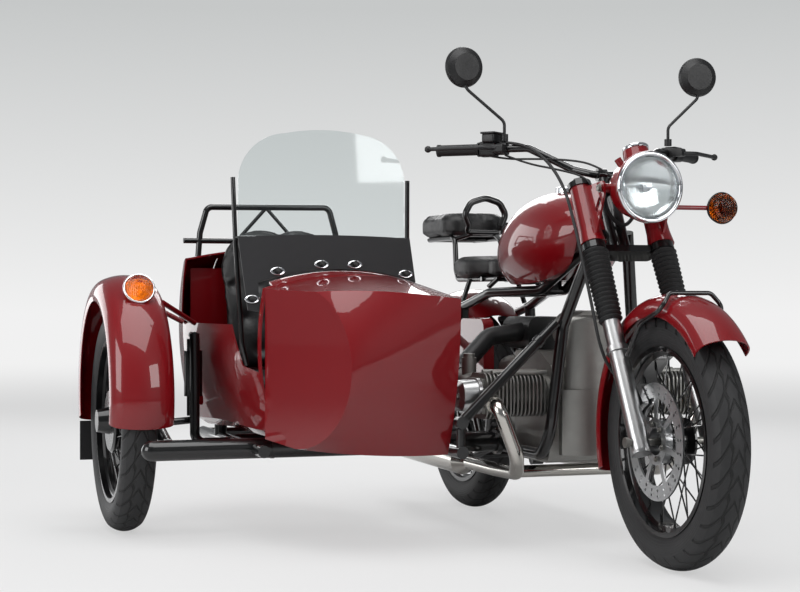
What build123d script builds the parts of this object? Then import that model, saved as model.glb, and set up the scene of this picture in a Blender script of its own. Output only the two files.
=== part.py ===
"""Sidecar motorcycle: a flat-twin motorcycle with a passenger sidecar on its right.

Millimetres. +X forward, +Y to the rider's left, +Z up. The pieces are drawn with the rear
axle above the zero point and the ground at zero, then moved so that the centre of the
whole machine's plan box stands over the zero point.
"""
from build123d import *
from math import atan2, cos, radians, sin
import os

# Clearances
SEAT_GAP = 0.3
SHAFT_GAP = 0.3

# Wheels
WHEELBASE = 1500
TYRE_RADIUS = 340
TYRE_WIDTH = 105
BEAD_RADIUS = 243
TYRE_WALL = 11
RIM_HEIGHT = 9
RIM_WIDTH = 88
RIM_WALL = 3.5
RIM_WELL_DEPTH = 12
RIM_WELL_WIDTH = 40
SPOKE_DIAMETER = 4.4
SPOKES_A_SIDE = 18
SPOKE_CROSS = 24
AXLE_DIAMETER = 20
SIDECAR_TRACK = 1250
SIDECAR_LEAD = 245

# Hubs: half width between the spoke flanges, flange radius, barrel radius
HUB_HALF = 34
HUB_FLANGE = 6
HUB_RADIUS = 62
HUB_BARREL = 36
DRUM_RADIUS = 100
DRUM_HALF = 42

# Front brake disc
DISC_RADIUS = 156
DISC_BAND = 40
DISC_THICK = 5
DISC_OFFSET = 58
DISC_SPIDER = 7

# Fork, measured up along the legs from the front axle
RAKE = 28.5
FORK_HALF_TRACK = 105
FORK_TRAIL_OFFSET = 45
LEG_DIAMETER = 52
LEG_COLLAR_UP = 262
GAITER_LOW = 356
GAITER_HIGH = 578
GAITER_DIAMETER = 76
GAITER_RIBS = 16
CLAMP_THICK = 20
COVER_HIGH = 780
COVER_DIAMETER = 66
TOP_CLAMP_THICK = 16
STEM_DIAMETER = 30
HEAD_TUBE_DIAMETER = 60

# Handlebar
BAR_DIAMETER = 22
BAR_HALF_WIDTH = 415
BAR_END_X = 817
BAR_END_Z = 1150
GRIP_SWEEP = 40
GRIP_LENGTH = 125
GRIP_DIAMETER = 33

# Lamps and mirrors
HEADLIGHT_X = 1359
HEADLIGHT_Z = 1021
HEADLIGHT_DIAMETER = 198
HEADLIGHT_LENS = 172
MIRROR_DIAMETER = 118
INDICATOR_DIAMETER = 85

# Front mudguard
GUARD_CENTRE_X = 1512
GUARD_CENTRE_Z = 348
GUARD_RADIUS = 384
GUARD_HALF_WIDTH = 74
GUARD_SKIN = 3

# Motorcycle frame
FRAME_TUBE = 35
DOWNTUBE_LOW_Y = 141
CRADLE_Z = 262

# Engine
CYLINDER_X = 925
CYLINDER_Z = 436
CYLINDER_ROOT_Y = 138
CYLINDER_END_Y = 345
COVER_END_Y = 410
FIN_SIZE = 122
FIN_PITCH = 12
FIN_THICK = 4
FRONT_COVER_X = 1010

# Exhaust
PIPE_DIAMETER = 42
SILENCER_DIAMETER = 84

# Sidecar
TUB_BIKE_Y = -445
TUB_WALL = 5
SIDECAR_TUBE = 60
SCREEN_THICK = 4

pieces = []


def keep(builder, label):
    """Give a finished piece its name and put it on the list that is written out."""
    builder.part.label = label
    pieces.append(builder.part)


def add_bar(points, bends, size, sides=0):
    """Add a bar along straight runs joined by arcs, round or with flat sides."""
    start = Vector(*points[0])
    along = Vector(*points[1]) - start
    with BuildSketch(Plane(origin=start, z_dir=along)) as section:
        if sides:
            RegularPolygon(radius=size / 2, side_count=sides)
        else:
            Circle(size / 2)
    if len(points) == 2:
        extrude(section.sketch, amount=along.length)
    else:
        with BuildLine() as route:
            FilletPolyline(*points, radius=bends)
        sweep(section.sketch, path=route.line)


def add_disc(centre, direction, diameter, length, mode=Mode.ADD):
    """Add a cylinder that starts at a point and runs a length in a direction."""
    with BuildSketch(Plane(origin=centre, z_dir=direction)) as section:
        Circle(diameter / 2)
    extrude(section.sketch, amount=length, mode=mode)


def add_block(low, high, mode=Mode.ADD):
    """Add a box between its two opposite corners."""
    size = [b - a for a, b in zip(low, high)]
    middle = tuple((a + b) / 2 for a, b in zip(low, high))
    with Locations(middle):
        Box(*size, mode=mode)


# The fork's own directions: up along the legs, and square to them, forward
FORK_UP = Vector(-sin(radians(RAKE)), 0, cos(radians(RAKE)))
FORK_AHEAD = Vector(cos(radians(RAKE)), 0, sin(radians(RAKE)))
FRONT_AXLE = Vector(WHEELBASE, 0, TYRE_RADIUS)


def fork_point(up, across=0, ahead=0):
    """Point that lies up the legs from the front axle, across to the left and ahead of them."""
    return FRONT_AXLE + FORK_UP * up + Vector(0, across, 0) + FORK_AHEAD * ahead


def fork_plane(up, across=0, ahead=0):
    """Plane square to the legs: its x axis points ahead and its y axis to the left."""
    return Plane(origin=fork_point(up, across, ahead), x_dir=FORK_AHEAD, z_dir=FORK_UP)


def mirrored(point):
    """The same point on the other side of the motorcycle's middle plane."""
    return (point[0], -point[1], point[2])


# Wheels
def make_tyre(axle_x, axle_y, label):
    """Tyre with round shoulders, hollow, open towards the rim."""
    half = TYRE_WIDTH / 2
    wheel = Plane(origin=(axle_x, axle_y, TYRE_RADIUS), x_dir=(0, 1, 0), z_dir=(1, 0, 0))
    bead = RIM_WIDTH / 2 - RIM_WALL - SEAT_GAP
    inner = half - TYRE_WALL
    lip = BEAD_RADIUS + RIM_HEIGHT + 1
    with BuildPart() as tyre:
        with BuildSketch(wheel):
            with BuildLine():
                Line((bead, BEAD_RADIUS), (bead, lip))
                ThreePointArc((bead, lip), (half, BEAD_RADIUS + 50), (half * 0.8, TYRE_RADIUS - 16))
                ThreePointArc((half * 0.8, TYRE_RADIUS - 16), (0, TYRE_RADIUS),
                              (-half * 0.8, TYRE_RADIUS - 16))
                ThreePointArc((-half * 0.8, TYRE_RADIUS - 16), (-half, BEAD_RADIUS + 50), (-bead, lip))
                Polyline((-bead, lip), (-bead, BEAD_RADIUS), (-bead + TYRE_WALL, BEAD_RADIUS))
                ThreePointArc((-bead + TYRE_WALL, BEAD_RADIUS), (-inner, BEAD_RADIUS + 50),
                              (0, TYRE_RADIUS - TYRE_WALL))
                ThreePointArc((0, TYRE_RADIUS - TYRE_WALL), (inner, BEAD_RADIUS + 50),
                              (bead - TYRE_WALL, BEAD_RADIUS))
                Line((bead - TYRE_WALL, BEAD_RADIUS), (bead, BEAD_RADIUS))
            make_face()
        revolve(axis=Axis(wheel.origin, (0, 1, 0)))
    keep(tyre, label)


def add_rim(wheel):
    """Add a well-base rim whose flanges hold the tyre's beads."""
    seat = BEAD_RADIUS - SEAT_GAP
    half = RIM_WIDTH / 2
    well_half = RIM_WELL_WIDTH / 2
    well = seat - RIM_WELL_DEPTH
    with BuildSketch(wheel) as section:
        with BuildLine():
            Polyline(
                (half, seat + RIM_HEIGHT), (half - RIM_WALL, seat + RIM_HEIGHT), (half - RIM_WALL, seat),
                (well_half + 6, seat), (well_half, well), (-well_half, well), (-well_half - 6, seat),
                (-half + RIM_WALL, seat), (-half + RIM_WALL, seat + RIM_HEIGHT), (-half, seat + RIM_HEIGHT),
                (-half, seat - RIM_WALL), (-well_half - 6, seat - RIM_WALL), (-well_half, well - RIM_WALL),
                (well_half, well - RIM_WALL), (well_half + 6, seat - RIM_WALL), (half, seat - RIM_WALL),
                close=True)
        make_face()
    revolve(section.sketch, axis=Axis(wheel.origin, (0, 1, 0)))


def spoke_ends(wheel, hub_radius, hub_half):
    """Ends of the crossed spokes that run from two hub flanges to the rim's well."""
    rim_radius = BEAD_RADIUS - SEAT_GAP - RIM_WELL_DEPTH - RIM_WALL / 2
    step = 360 / SPOKES_A_SIDE
    ends = []
    for side in (-1, 1):
        for spoke in range(SPOKES_A_SIDE):
            at_rim = radians((spoke + side / 4) * step)
            at_hub = at_rim + radians(SPOKE_CROSS if spoke % 2 else -SPOKE_CROSS)
            low = Vector(hub_radius * cos(at_hub), side * hub_half, hub_radius * sin(at_hub))
            high = Vector(rim_radius * cos(at_rim), side * 8, rim_radius * sin(at_rim))
            ends.append((wheel.origin + low, wheel.origin + high))
    return ends


def make_wheel(axle_x, axle_y, drum, cap, label):
    """Wire wheel with a slim hub or a brake drum, and a cap of some length on its outer side."""
    wheel = Plane(origin=(axle_x, axle_y, TYRE_RADIUS), x_dir=(0, 1, 0), z_dir=(1, 0, 0))
    bore = AXLE_DIAMETER / 2 + SHAFT_GAP
    with BuildPart() as rim:
        with BuildSketch(wheel):
            with BuildLine():
                if not drum:
                    Polyline((-HUB_HALF, bore), (-HUB_HALF, HUB_RADIUS), (-HUB_HALF + HUB_FLANGE, HUB_RADIUS),
                             (-HUB_HALF + 14, HUB_BARREL), (HUB_HALF - 14, HUB_BARREL),
                             (HUB_HALF - HUB_FLANGE, HUB_RADIUS), (HUB_HALF, HUB_RADIUS), (HUB_HALF, bore),
                             close=True)
                else:
                    Polyline((-DRUM_HALF, bore), (-DRUM_HALF, DRUM_RADIUS - 8), (-DRUM_HALF + 6, DRUM_RADIUS),
                             (-DRUM_HALF + 14, DRUM_RADIUS), (-DRUM_HALF + 20, DRUM_RADIUS - 8),
                             (DRUM_HALF - 20, DRUM_RADIUS - 8), (DRUM_HALF - 14, DRUM_RADIUS),
                             (DRUM_HALF - 6, DRUM_RADIUS), (DRUM_HALF, DRUM_RADIUS - 8), (DRUM_HALF, bore),
                             close=True)
            make_face()
        revolve(axis=Axis(wheel.origin, (0, 1, 0)))
        if cap:
            with BuildSketch(Plane(origin=(axle_x, axle_y - DRUM_HALF, TYRE_RADIUS), z_dir=(0, -1, 0))):
                Circle(DRUM_RADIUS * 0.42)
            extrude(amount=cap, taper=12)
        spoke_root = (DRUM_RADIUS if drum else HUB_RADIUS) - 5
        spoke_half = (DRUM_HALF - 10) if drum else (HUB_HALF - HUB_FLANGE / 2)
        add_rim(wheel)
        for low, high in spoke_ends(wheel, spoke_root, spoke_half):
            with BuildSketch(Plane(origin=low, z_dir=high - low)):
                RegularPolygon(radius=SPOKE_DIAMETER / 2, side_count=6)
        extrude(amount=(high - low).length)
    keep(rim, label)


make_tyre(WHEELBASE, 0, "front_tyre")
make_tyre(0, 0, "rear_tyre")
make_tyre(SIDECAR_LEAD, -SIDECAR_TRACK, "sidecar_tyre")
make_wheel(WHEELBASE, 0, False, 0, "front_rim")
make_wheel(0, 0, True, 0, "rear_rim")
make_wheel(SIDECAR_LEAD, -SIDECAR_TRACK, True, 38, "sidecar_rim")

# Front brake disc on a spider that seats on the hub's right face
with BuildPart() as disc:
    disc_plane = Plane(origin=(WHEELBASE, -DISC_OFFSET, TYRE_RADIUS), z_dir=(0, 1, 0))
    with BuildSketch(disc_plane):
        Circle(DISC_RADIUS)
        Circle(DISC_RADIUS - DISC_BAND, mode=Mode.SUBTRACT)
        for ring, count in ((DISC_RADIUS - 12, 24), (DISC_RADIUS - 27, 24)):
            with PolarLocations(ring, count, start_angle=ring):
                RegularPolygon(radius=4.5, side_count=6, mode=Mode.SUBTRACT)
        Circle(HUB_RADIUS)
        Circle(HUB_BARREL, mode=Mode.SUBTRACT)
        with PolarLocations((HUB_RADIUS + DISC_RADIUS - DISC_BAND) / 2, DISC_SPIDER):
            Rectangle(DISC_RADIUS - DISC_BAND - HUB_RADIUS + 12, 16)
    extrude(amount=DISC_THICK)
    seat_length = DISC_OFFSET - HUB_HALF - DISC_THICK - SEAT_GAP
    with BuildSketch(disc_plane.offset(DISC_THICK)):
        Circle(HUB_RADIUS - 4)
        Circle(HUB_BARREL, mode=Mode.SUBTRACT)
    extrude(amount=seat_length)
keep(disc, "brake_disc")

# Front axle, clamped in the feet of the fork legs
with BuildPart() as front_axle:
    add_disc((WHEELBASE, -FORK_HALF_TRACK - 34, TYRE_RADIUS), (0, 1, 0), AXLE_DIAMETER,
             2 * FORK_HALF_TRACK + 68)
    add_disc((WHEELBASE, -FORK_HALF_TRACK - 42, TYRE_RADIUS), (0, 1, 0), 28, 10)
    add_disc((WHEELBASE, FORK_HALF_TRACK + 32, TYRE_RADIUS), (0, 1, 0), 28, 10)
keep(front_axle, "front_axle")

# Fork legs: alloy lower legs with a collar, and the foot that pinches the axle
with BuildPart() as fork_legs:
    for side in (-1, 1):
        across = side * FORK_HALF_TRACK
        with BuildSketch(fork_plane(-34, across)):
            Circle(LEG_DIAMETER / 2 - 2)
        with BuildSketch(fork_plane(-26, across)):
            Circle(LEG_DIAMETER / 2)
        loft()
        with BuildSketch(fork_plane(-26, across)):
            Circle(LEG_DIAMETER / 2)
        extrude(amount=26 + LEG_COLLAR_UP)
        with BuildSketch(fork_plane(LEG_COLLAR_UP, across)):
            Circle(LEG_DIAMETER / 2 + 5)
        extrude(amount=16)
        with BuildSketch(fork_plane(LEG_COLLAR_UP + 16, across)):
            Circle(LEG_DIAMETER / 2 - 1)
        extrude(amount=GAITER_LOW - LEG_COLLAR_UP + 14)
        with BuildSketch(fork_plane(GAITER_LOW + 20, across)):
            Circle(19)
        extrude(amount=GAITER_HIGH - GAITER_LOW - 20 + CLAMP_THICK + 1)
    add_disc((WHEELBASE, -FORK_HALF_TRACK - LEG_DIAMETER, TYRE_RADIUS), (0, 1, 0),
             AXLE_DIAMETER + 2 * SHAFT_GAP, 2 * FORK_HALF_TRACK + 2 * LEG_DIAMETER, mode=Mode.SUBTRACT)
keep(fork_legs, "fork_legs")

# Ribbed gaiters between the lower legs and the lower clamp
with BuildPart() as gaiters:
    pitch = (GAITER_HIGH - GAITER_LOW - SEAT_GAP) / GAITER_RIBS
    for side in (-1, 1):
        base = fork_point(GAITER_LOW, side * FORK_HALF_TRACK)
        along_leg = Plane(origin=base, x_dir=FORK_AHEAD, z_dir=(0, -1, 0))
        bore = LEG_DIAMETER / 2 + SEAT_GAP
        rib_tips = []
        for rib in range(GAITER_RIBS):
            taper = 1 - 0.12 * (1 - rib / GAITER_RIBS)
            rib_tips.append((GAITER_DIAMETER / 2 * taper - 6, rib * pitch))
            rib_tips.append((GAITER_DIAMETER / 2 * taper, (rib + 0.5) * pitch))
        with BuildSketch(along_leg):
            with BuildLine():
                Polyline((bore, 0), *rib_tips, (GAITER_DIAMETER / 2 - 6, GAITER_RIBS * pitch),
                         (bore, GAITER_RIBS * pitch), close=True)
            make_face()
        revolve(axis=Axis(base, FORK_UP))
keep(gaiters, "fork_gaiters")

# Lower and upper clamps with the steering stem between them
LOWER_CLAMP_UP = GAITER_HIGH + 1
TOP_CLAMP_UP = COVER_HIGH + SEAT_GAP
with BuildPart() as clamps:
    for up, thick in ((LOWER_CLAMP_UP, CLAMP_THICK), (TOP_CLAMP_UP, TOP_CLAMP_THICK)):
        with BuildSketch(fork_plane(up)):
            with Locations((0, -FORK_HALF_TRACK), (0, FORK_HALF_TRACK)):
                Circle(34)
            with Locations((-FORK_TRAIL_OFFSET + 18, 0)):
                RectangleRounded(58, 2 * FORK_HALF_TRACK - 30, 14)
        extrude(amount=thick)
    with BuildSketch(fork_plane(LOWER_CLAMP_UP, 0, -FORK_TRAIL_OFFSET)):
        Circle(STEM_DIAMETER / 2)
    extrude(amount=TOP_CLAMP_UP - LOWER_CLAMP_UP + TOP_CLAMP_THICK + 12)
    for side in (-1, 1):
        with BuildSketch(fork_plane(LOWER_CLAMP_UP - 1, side * FORK_HALF_TRACK)):
            Circle(19 + SEAT_GAP)
        extrude(amount=CLAMP_THICK + 2, mode=Mode.SUBTRACT)
        with BuildSketch(fork_plane(TOP_CLAMP_UP + TOP_CLAMP_THICK, side * FORK_HALF_TRACK)):
            RegularPolygon(radius=21, side_count=6)
        extrude(amount=12)
keep(clamps, "fork_clamps")

# Painted fork covers with the lugs that hold the headlight
with BuildPart() as covers:
    for side in (-1, 1):
        across = side * FORK_HALF_TRACK
        with BuildSketch(fork_plane(LOWER_CLAMP_UP + CLAMP_THICK + SEAT_GAP, across)):
            Circle(COVER_DIAMETER / 2 + 5)
        with BuildSketch(fork_plane(LOWER_CLAMP_UP + CLAMP_THICK + 40, across)):
            Circle(COVER_DIAMETER / 2)
        with BuildSketch(fork_plane(COVER_HIGH, across)):
            Circle(COVER_DIAMETER / 2 - 3)
        loft(ruled=True)
        lug = Plane(origin=(0, across - side * 3, 0), x_dir=(1, 0, 0), z_dir=(0, -1, 0))
        low = fork_point(LOWER_CLAMP_UP + CLAMP_THICK + 14, 0, COVER_DIAMETER / 2 - 6)
        high = fork_point(COVER_HIGH - 8, 0, COVER_DIAMETER / 2 - 8)
        bolt_x = HEADLIGHT_X - 89
        with BuildSketch(lug):
            with BuildLine():
                Polyline((low.X, low.Z), (bolt_x + 14, HEADLIGHT_Z - 16), (bolt_x + 16, HEADLIGHT_Z + 10),
                         (bolt_x, HEADLIGHT_Z + 20), (high.X, high.Z), close=True)
            make_face()
            with Locations(((low.X + bolt_x) / 2 - 4, HEADLIGHT_Z - 44)):
                SlotOverall(46, 18, rotation=55, mode=Mode.SUBTRACT)
        extrude(amount=3, both=True)
        with BuildSketch(fork_plane(LOWER_CLAMP_UP + CLAMP_THICK, across)):
            Circle(22)
        extrude(amount=COVER_HIGH - LOWER_CLAMP_UP - CLAMP_THICK + 1, mode=Mode.SUBTRACT)
keep(covers, "fork_covers")

# Headlight shell, a bowl that hangs between the lugs, with the lens in its rim
LAMP_PLANE = Plane(origin=(HEADLIGHT_X, 0, HEADLIGHT_Z), x_dir=(0, 1, 0), z_dir=(1, 0, 0))
SHELL_DEPTH = 172
with BuildPart() as shell:
    shell_side = Plane(origin=(HEADLIGHT_X, 0, HEADLIGHT_Z), x_dir=(1, 0, 0), z_dir=(0, -1, 0))
    rim_radius = HEADLIGHT_DIAMETER / 2
    with BuildSketch(shell_side):
        with BuildLine():
            Line((-SHELL_DEPTH, 0), (0, 0))
            Line((0, 0), (0, rim_radius - 4))
            ThreePointArc((0, rim_radius - 4), (-6, rim_radius), (-16, rim_radius - 2))
            Line((-16, rim_radius - 2), (-18, rim_radius - 8))
            Line((-18, rim_radius - 8), (-74, rim_radius - 14))
            ThreePointArc((-74, rim_radius - 14), (-142, rim_radius * 0.52), (-SHELL_DEPTH, 14))
            Line((-SHELL_DEPTH, 14), (-SHELL_DEPTH, 0))
        make_face()
    revolve(axis=Axis((HEADLIGHT_X, 0, HEADLIGHT_Z), (1, 0, 0)))
    with BuildSketch(LAMP_PLANE):
        Circle(HEADLIGHT_LENS / 2 + SEAT_GAP)
    extrude(amount=-40, mode=Mode.SUBTRACT)
    for side in (-1, 1):
        lug_face = FORK_HALF_TRACK - 6 - SEAT_GAP
        add_disc((HEADLIGHT_X - 89, side * 60, HEADLIGHT_Z), (0, side, 0), 26, lug_face - 60)
        add_disc((HEADLIGHT_X - 89, side * (FORK_HALF_TRACK + SEAT_GAP), HEADLIGHT_Z), (0, side, 0), 20, 6)
    add_bar([(HEADLIGHT_X - 50, 60, HEADLIGHT_Z - 52), (HEADLIGHT_X - 50, 240 - 20, HEADLIGHT_Z - 52)], 0, 13)
    with BuildSketch(Plane(origin=(HEADLIGHT_X - 78, 0, HEADLIGHT_Z + 66), z_dir=(-0.42, 0, 1))):
        Circle(38)
    extrude(amount=42, taper=3)
    for across in (-52, 52):
        add_disc((HEADLIGHT_X - 68, across, HEADLIGHT_Z + 58), (-0.3, across / 90, 1), 20, 26)
keep(shell, "headlight_shell")

with BuildPart() as lens:
    with BuildSketch(shell_side):
        with BuildLine():
            Polyline((-34, 6), (-34, 0), (11, 0), (11, 6))
            ThreePointArc((11, 6), (8, HEADLIGHT_LENS * 0.3), (-2, HEADLIGHT_LENS / 2))
            Line((-2, HEADLIGHT_LENS / 2), (-8, HEADLIGHT_LENS / 2))
            ThreePointArc((-8, HEADLIGHT_LENS / 2), (-24, HEADLIGHT_LENS * 0.28), (-34, 6))
        make_face()
    revolve(axis=Axis((HEADLIGHT_X, 0, HEADLIGHT_Z), (1, 0, 0)))
keep(lens, "headlight_lens")

# Front turn lamp on the left, on its stalk
INDICATOR = (HEADLIGHT_X - 41, 240, HEADLIGHT_Z - 52)
with BuildPart() as indicator:
    lamp_side = Plane(origin=INDICATOR, x_dir=(1, 0, 0), z_dir=(0, -1, 0))
    radius = INDICATOR_DIAMETER / 2
    with BuildSketch(lamp_side):
        with BuildLine():
            Polyline((-34, 0), (-30, radius * 0.55), (-8, radius - 2), (0, radius), (6, radius - 2),
                     (24, radius * 0.84), (28, radius * 0.6), (40, radius * 0.5), (42, 0), close=True)
        make_face()
    revolve(axis=Axis(INDICATOR, (1, 0, 0)))
    add_disc((INDICATOR[0] - 9, INDICATOR[1] - 21, INDICATOR[2]), (0, -1, 0), 18, 18)
    add_disc((INDICATOR[0] - 9, 190, INDICATOR[2]), (0, 1, 0), 13 + 2 * SEAT_GAP, 31, mode=Mode.SUBTRACT)
keep(indicator, "front_indicator")


# Handlebar: one bent tube in two risers on the top clamp
GRIP_DIRECTION = Vector(-sin(radians(GRIP_SWEEP)), cos(radians(GRIP_SWEEP)), 0)
BAR_END = Vector(BAR_END_X, BAR_HALF_WIDTH, BAR_END_Z)
BAR_ELBOW = BAR_END - GRIP_DIRECTION * 272
BAR_SHOULDER = (1062, 100, 1086)
BAR_CENTRE = (1115, 50, 1068)
BAR_ROUTE = [tuple(BAR_END), tuple(BAR_ELBOW), BAR_SHOULDER, BAR_CENTRE]
with BuildPart() as handlebar:
    left_run = BAR_ROUTE
    right_run = [mirrored(point) for point in reversed(BAR_ROUTE)]
    add_bar(left_run + right_run, 38, BAR_DIAMETER)
    for side in (-1, 1):
        base = fork_point(TOP_CLAMP_UP + TOP_CLAMP_THICK + SEAT_GAP, side * 34, 9)
        add_disc(base, FORK_UP, 24, 24)
        add_disc((BAR_CENTRE[0], side * 34 - 13, BAR_CENTRE[2]), (0, 1, 0), 36, 26)
keep(handlebar, "handlebar")

with BuildPart() as grips:
    for side in (-1, 1):
        end = Vector(BAR_END.X, side * BAR_END.Y, BAR_END.Z)
        out = Vector(GRIP_DIRECTION.X, side * GRIP_DIRECTION.Y, 0)
        start = end - out * GRIP_LENGTH
        add_disc(start, out, GRIP_DIAMETER, GRIP_LENGTH + 3)
        add_disc(start, out, GRIP_DIAMETER + 9, 5)
        add_disc(end - out * 3, out, GRIP_DIAMETER + 3, 8)
        add_disc(start - out, out, BAR_DIAMETER + 2 * SEAT_GAP, GRIP_LENGTH + 1 + SEAT_GAP,
                 mode=Mode.SUBTRACT)
keep(grips, "handlebar_grips")

# Switch housings, brake reservoir, clutch perch and the two levers
with BuildPart() as controls:
    for side in (-1, 1):
        out = Vector(GRIP_DIRECTION.X, side * GRIP_DIRECTION.Y, 0)
        end = Vector(BAR_END.X, side * BAR_END.Y, BAR_END.Z)
        housing = end - out * (GRIP_LENGTH + 6 + SEAT_GAP)
        ahead = Vector(cos(radians(GRIP_SWEEP)), side * sin(radians(GRIP_SWEEP)), 0)
        housing_plane = Plane(origin=housing, x_dir=ahead, z_dir=-out)
        with BuildSketch(housing_plane):
            RectangleRounded(46, 44, 10)
        extrude(amount=44)
        perch = Plane(origin=housing - out * 46, x_dir=ahead, z_dir=-out)
        with BuildSketch(perch):
            RectangleRounded(36, 34, 8)
            with Locations((30, 2)):
                RectangleRounded(40, 24, 6)
        extrude(amount=32)
        knuckle = housing - out * 62 + ahead * 40
        lever = [knuckle, knuckle + out * 40 + ahead * 34, knuckle + out * 205 + ahead * 26]
        add_bar(lever, 30, 12)
        with Locations(lever[-1]):
            Sphere(10)
        add_disc(housing + out * 4, -out, BAR_DIAMETER + 2 * SEAT_GAP, 100, mode=Mode.SUBTRACT)
keep(controls, "bar_controls")

with BuildPart() as mirrors:
    for side in (-1, 1):
        head = Vector(914, side * 377, 1385)
        foot = Vector(948, side * 263, BAR_END_Z + 24 + SEAT_GAP)
        elbow = Vector(948, side * 263, 1228)
        reach = Vector(930, side * 369, 1318)
        neck = head + Vector(10, 0, -52)
        add_bar([foot, elbow, reach, neck], [24, 22], 9)
        with BuildSketch(Plane(origin=foot - Vector(0, 0, 2), z_dir=(0, 0, 1))):
            Circle(11)
        extrude(amount=20)
        face = Plane(origin=head + Vector(4, 0, 0), z_dir=(1, side * -0.12, 0))
        with BuildSketch(face):
            Circle(MIRROR_DIAMETER / 2)
        with BuildSketch(face.offset(10)):
            Circle(MIRROR_DIAMETER / 2 - 3)
        with BuildSketch(face.offset(22)):
            Circle(MIRROR_DIAMETER / 2 - 20)
        loft(ruled=True)
        with BuildSketch(face):
            Circle(MIRROR_DIAMETER / 2)
        extrude(amount=-4)
keep(mirrors, "mirrors")

# Front mudguard: an arched strip that follows the tyre, held by a hoop
def add_guard(centre_x, centre_y, centre_z, radius, half_width, drop, skin, first, last):
    """Add a mudguard of round section swept about a point, between two angles from the front."""
    turned = Plane(origin=(centre_x, centre_y, centre_z), x_dir=(0, 1, 0), z_dir=(1, 0, 0))
    shoulder = half_width * 0.62
    with BuildSketch(turned) as section:
        with BuildLine():
            ThreePointArc((-half_width, radius - drop), (-half_width * 0.93, radius - drop * 0.42),
                          (-shoulder, radius - drop * 0.14))
            ThreePointArc((-shoulder, radius - drop * 0.14), (0, radius), (shoulder, radius - drop * 0.14))
            ThreePointArc((shoulder, radius - drop * 0.14), (half_width * 0.93, radius - drop * 0.42),
                          (half_width, radius - drop))
            Line((half_width, radius - drop), (half_width - skin, radius - drop))
            ThreePointArc((half_width - skin, radius - drop),
                          (half_width * 0.93 - skin, radius - drop * 0.45 - 1),
                          (shoulder - skin * 0.4, radius - drop * 0.14 - skin))
            ThreePointArc((shoulder - skin * 0.4, radius - drop * 0.14 - skin), (0, radius - skin),
                          (-shoulder + skin * 0.4, radius - drop * 0.14 - skin))
            ThreePointArc((-shoulder + skin * 0.4, radius - drop * 0.14 - skin),
                          (-half_width * 0.93 + skin, radius - drop * 0.45 - 1),
                          (-half_width + skin, radius - drop))
            Line((-half_width + skin, radius - drop), (-half_width, radius - drop))
        make_face()
    spin = Axis((centre_x, centre_y, centre_z), (0, -1, 0))
    start = section.sketch.rotate(spin, first - 90)
    revolve(start, axis=spin, revolution_arc=last - first)


with BuildPart() as front_guard:
    add_guard(GUARD_CENTRE_X, 0, GUARD_CENTRE_Z, GUARD_RADIUS, GUARD_HALF_WIDTH, 62, GUARD_SKIN, 44, 198)
keep(front_guard, "front_mudguard")

with BuildPart() as guard_stay:
    run = [tuple(fork_point(LEG_COLLAR_UP - 24, FORK_HALF_TRACK - 7, LEG_DIAMETER / 2 + 6 + SEAT_GAP)),
           (1480, 92, 652), (1600, 92, 690), (1584, 60, 731.8)]
    add_bar(run + [mirrored(point) for point in reversed(run)], [60, 26, 18, 18, 26, 60], 12)
keep(guard_stay, "mudguard_stay")

# Brake calliper on the right leg, astride the disc behind it
CALLIPER_ANGLE = 136
with BuildPart() as calliper:
    outer_radius = DISC_RADIUS + 13
    facing = Vector(cos(radians(CALLIPER_ANGLE)), 0, sin(radians(CALLIPER_ANGLE)))
    for low, high, inner_radius in ((-DISC_OFFSET - 20, -DISC_OFFSET - 3, 104), (-DISC_OFFSET - 3, -50, 159),
                                    (-50, -40, 104)):
        with BuildSketch(Plane(origin=(WHEELBASE, low, TYRE_RADIUS), x_dir=facing, z_dir=(0, 1, 0))):
            Circle(outer_radius)
            Circle(inner_radius, mode=Mode.SUBTRACT)
            with Locations((outer_radius - 35, 0)):
                RectangleRounded(90, 104, 12, mode=Mode.INTERSECT)
        extrude(amount=high - low)
    for up in (66, 112):
        lug_end = fork_point(up, -FORK_HALF_TRACK + 14, -LEG_DIAMETER / 2 - SEAT_GAP)
        lug_start = fork_point(up, -DISC_OFFSET - 11, -78)
        add_bar([lug_start, lug_end], 0, 14)
keep(calliper, "brake_calliper")

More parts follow.
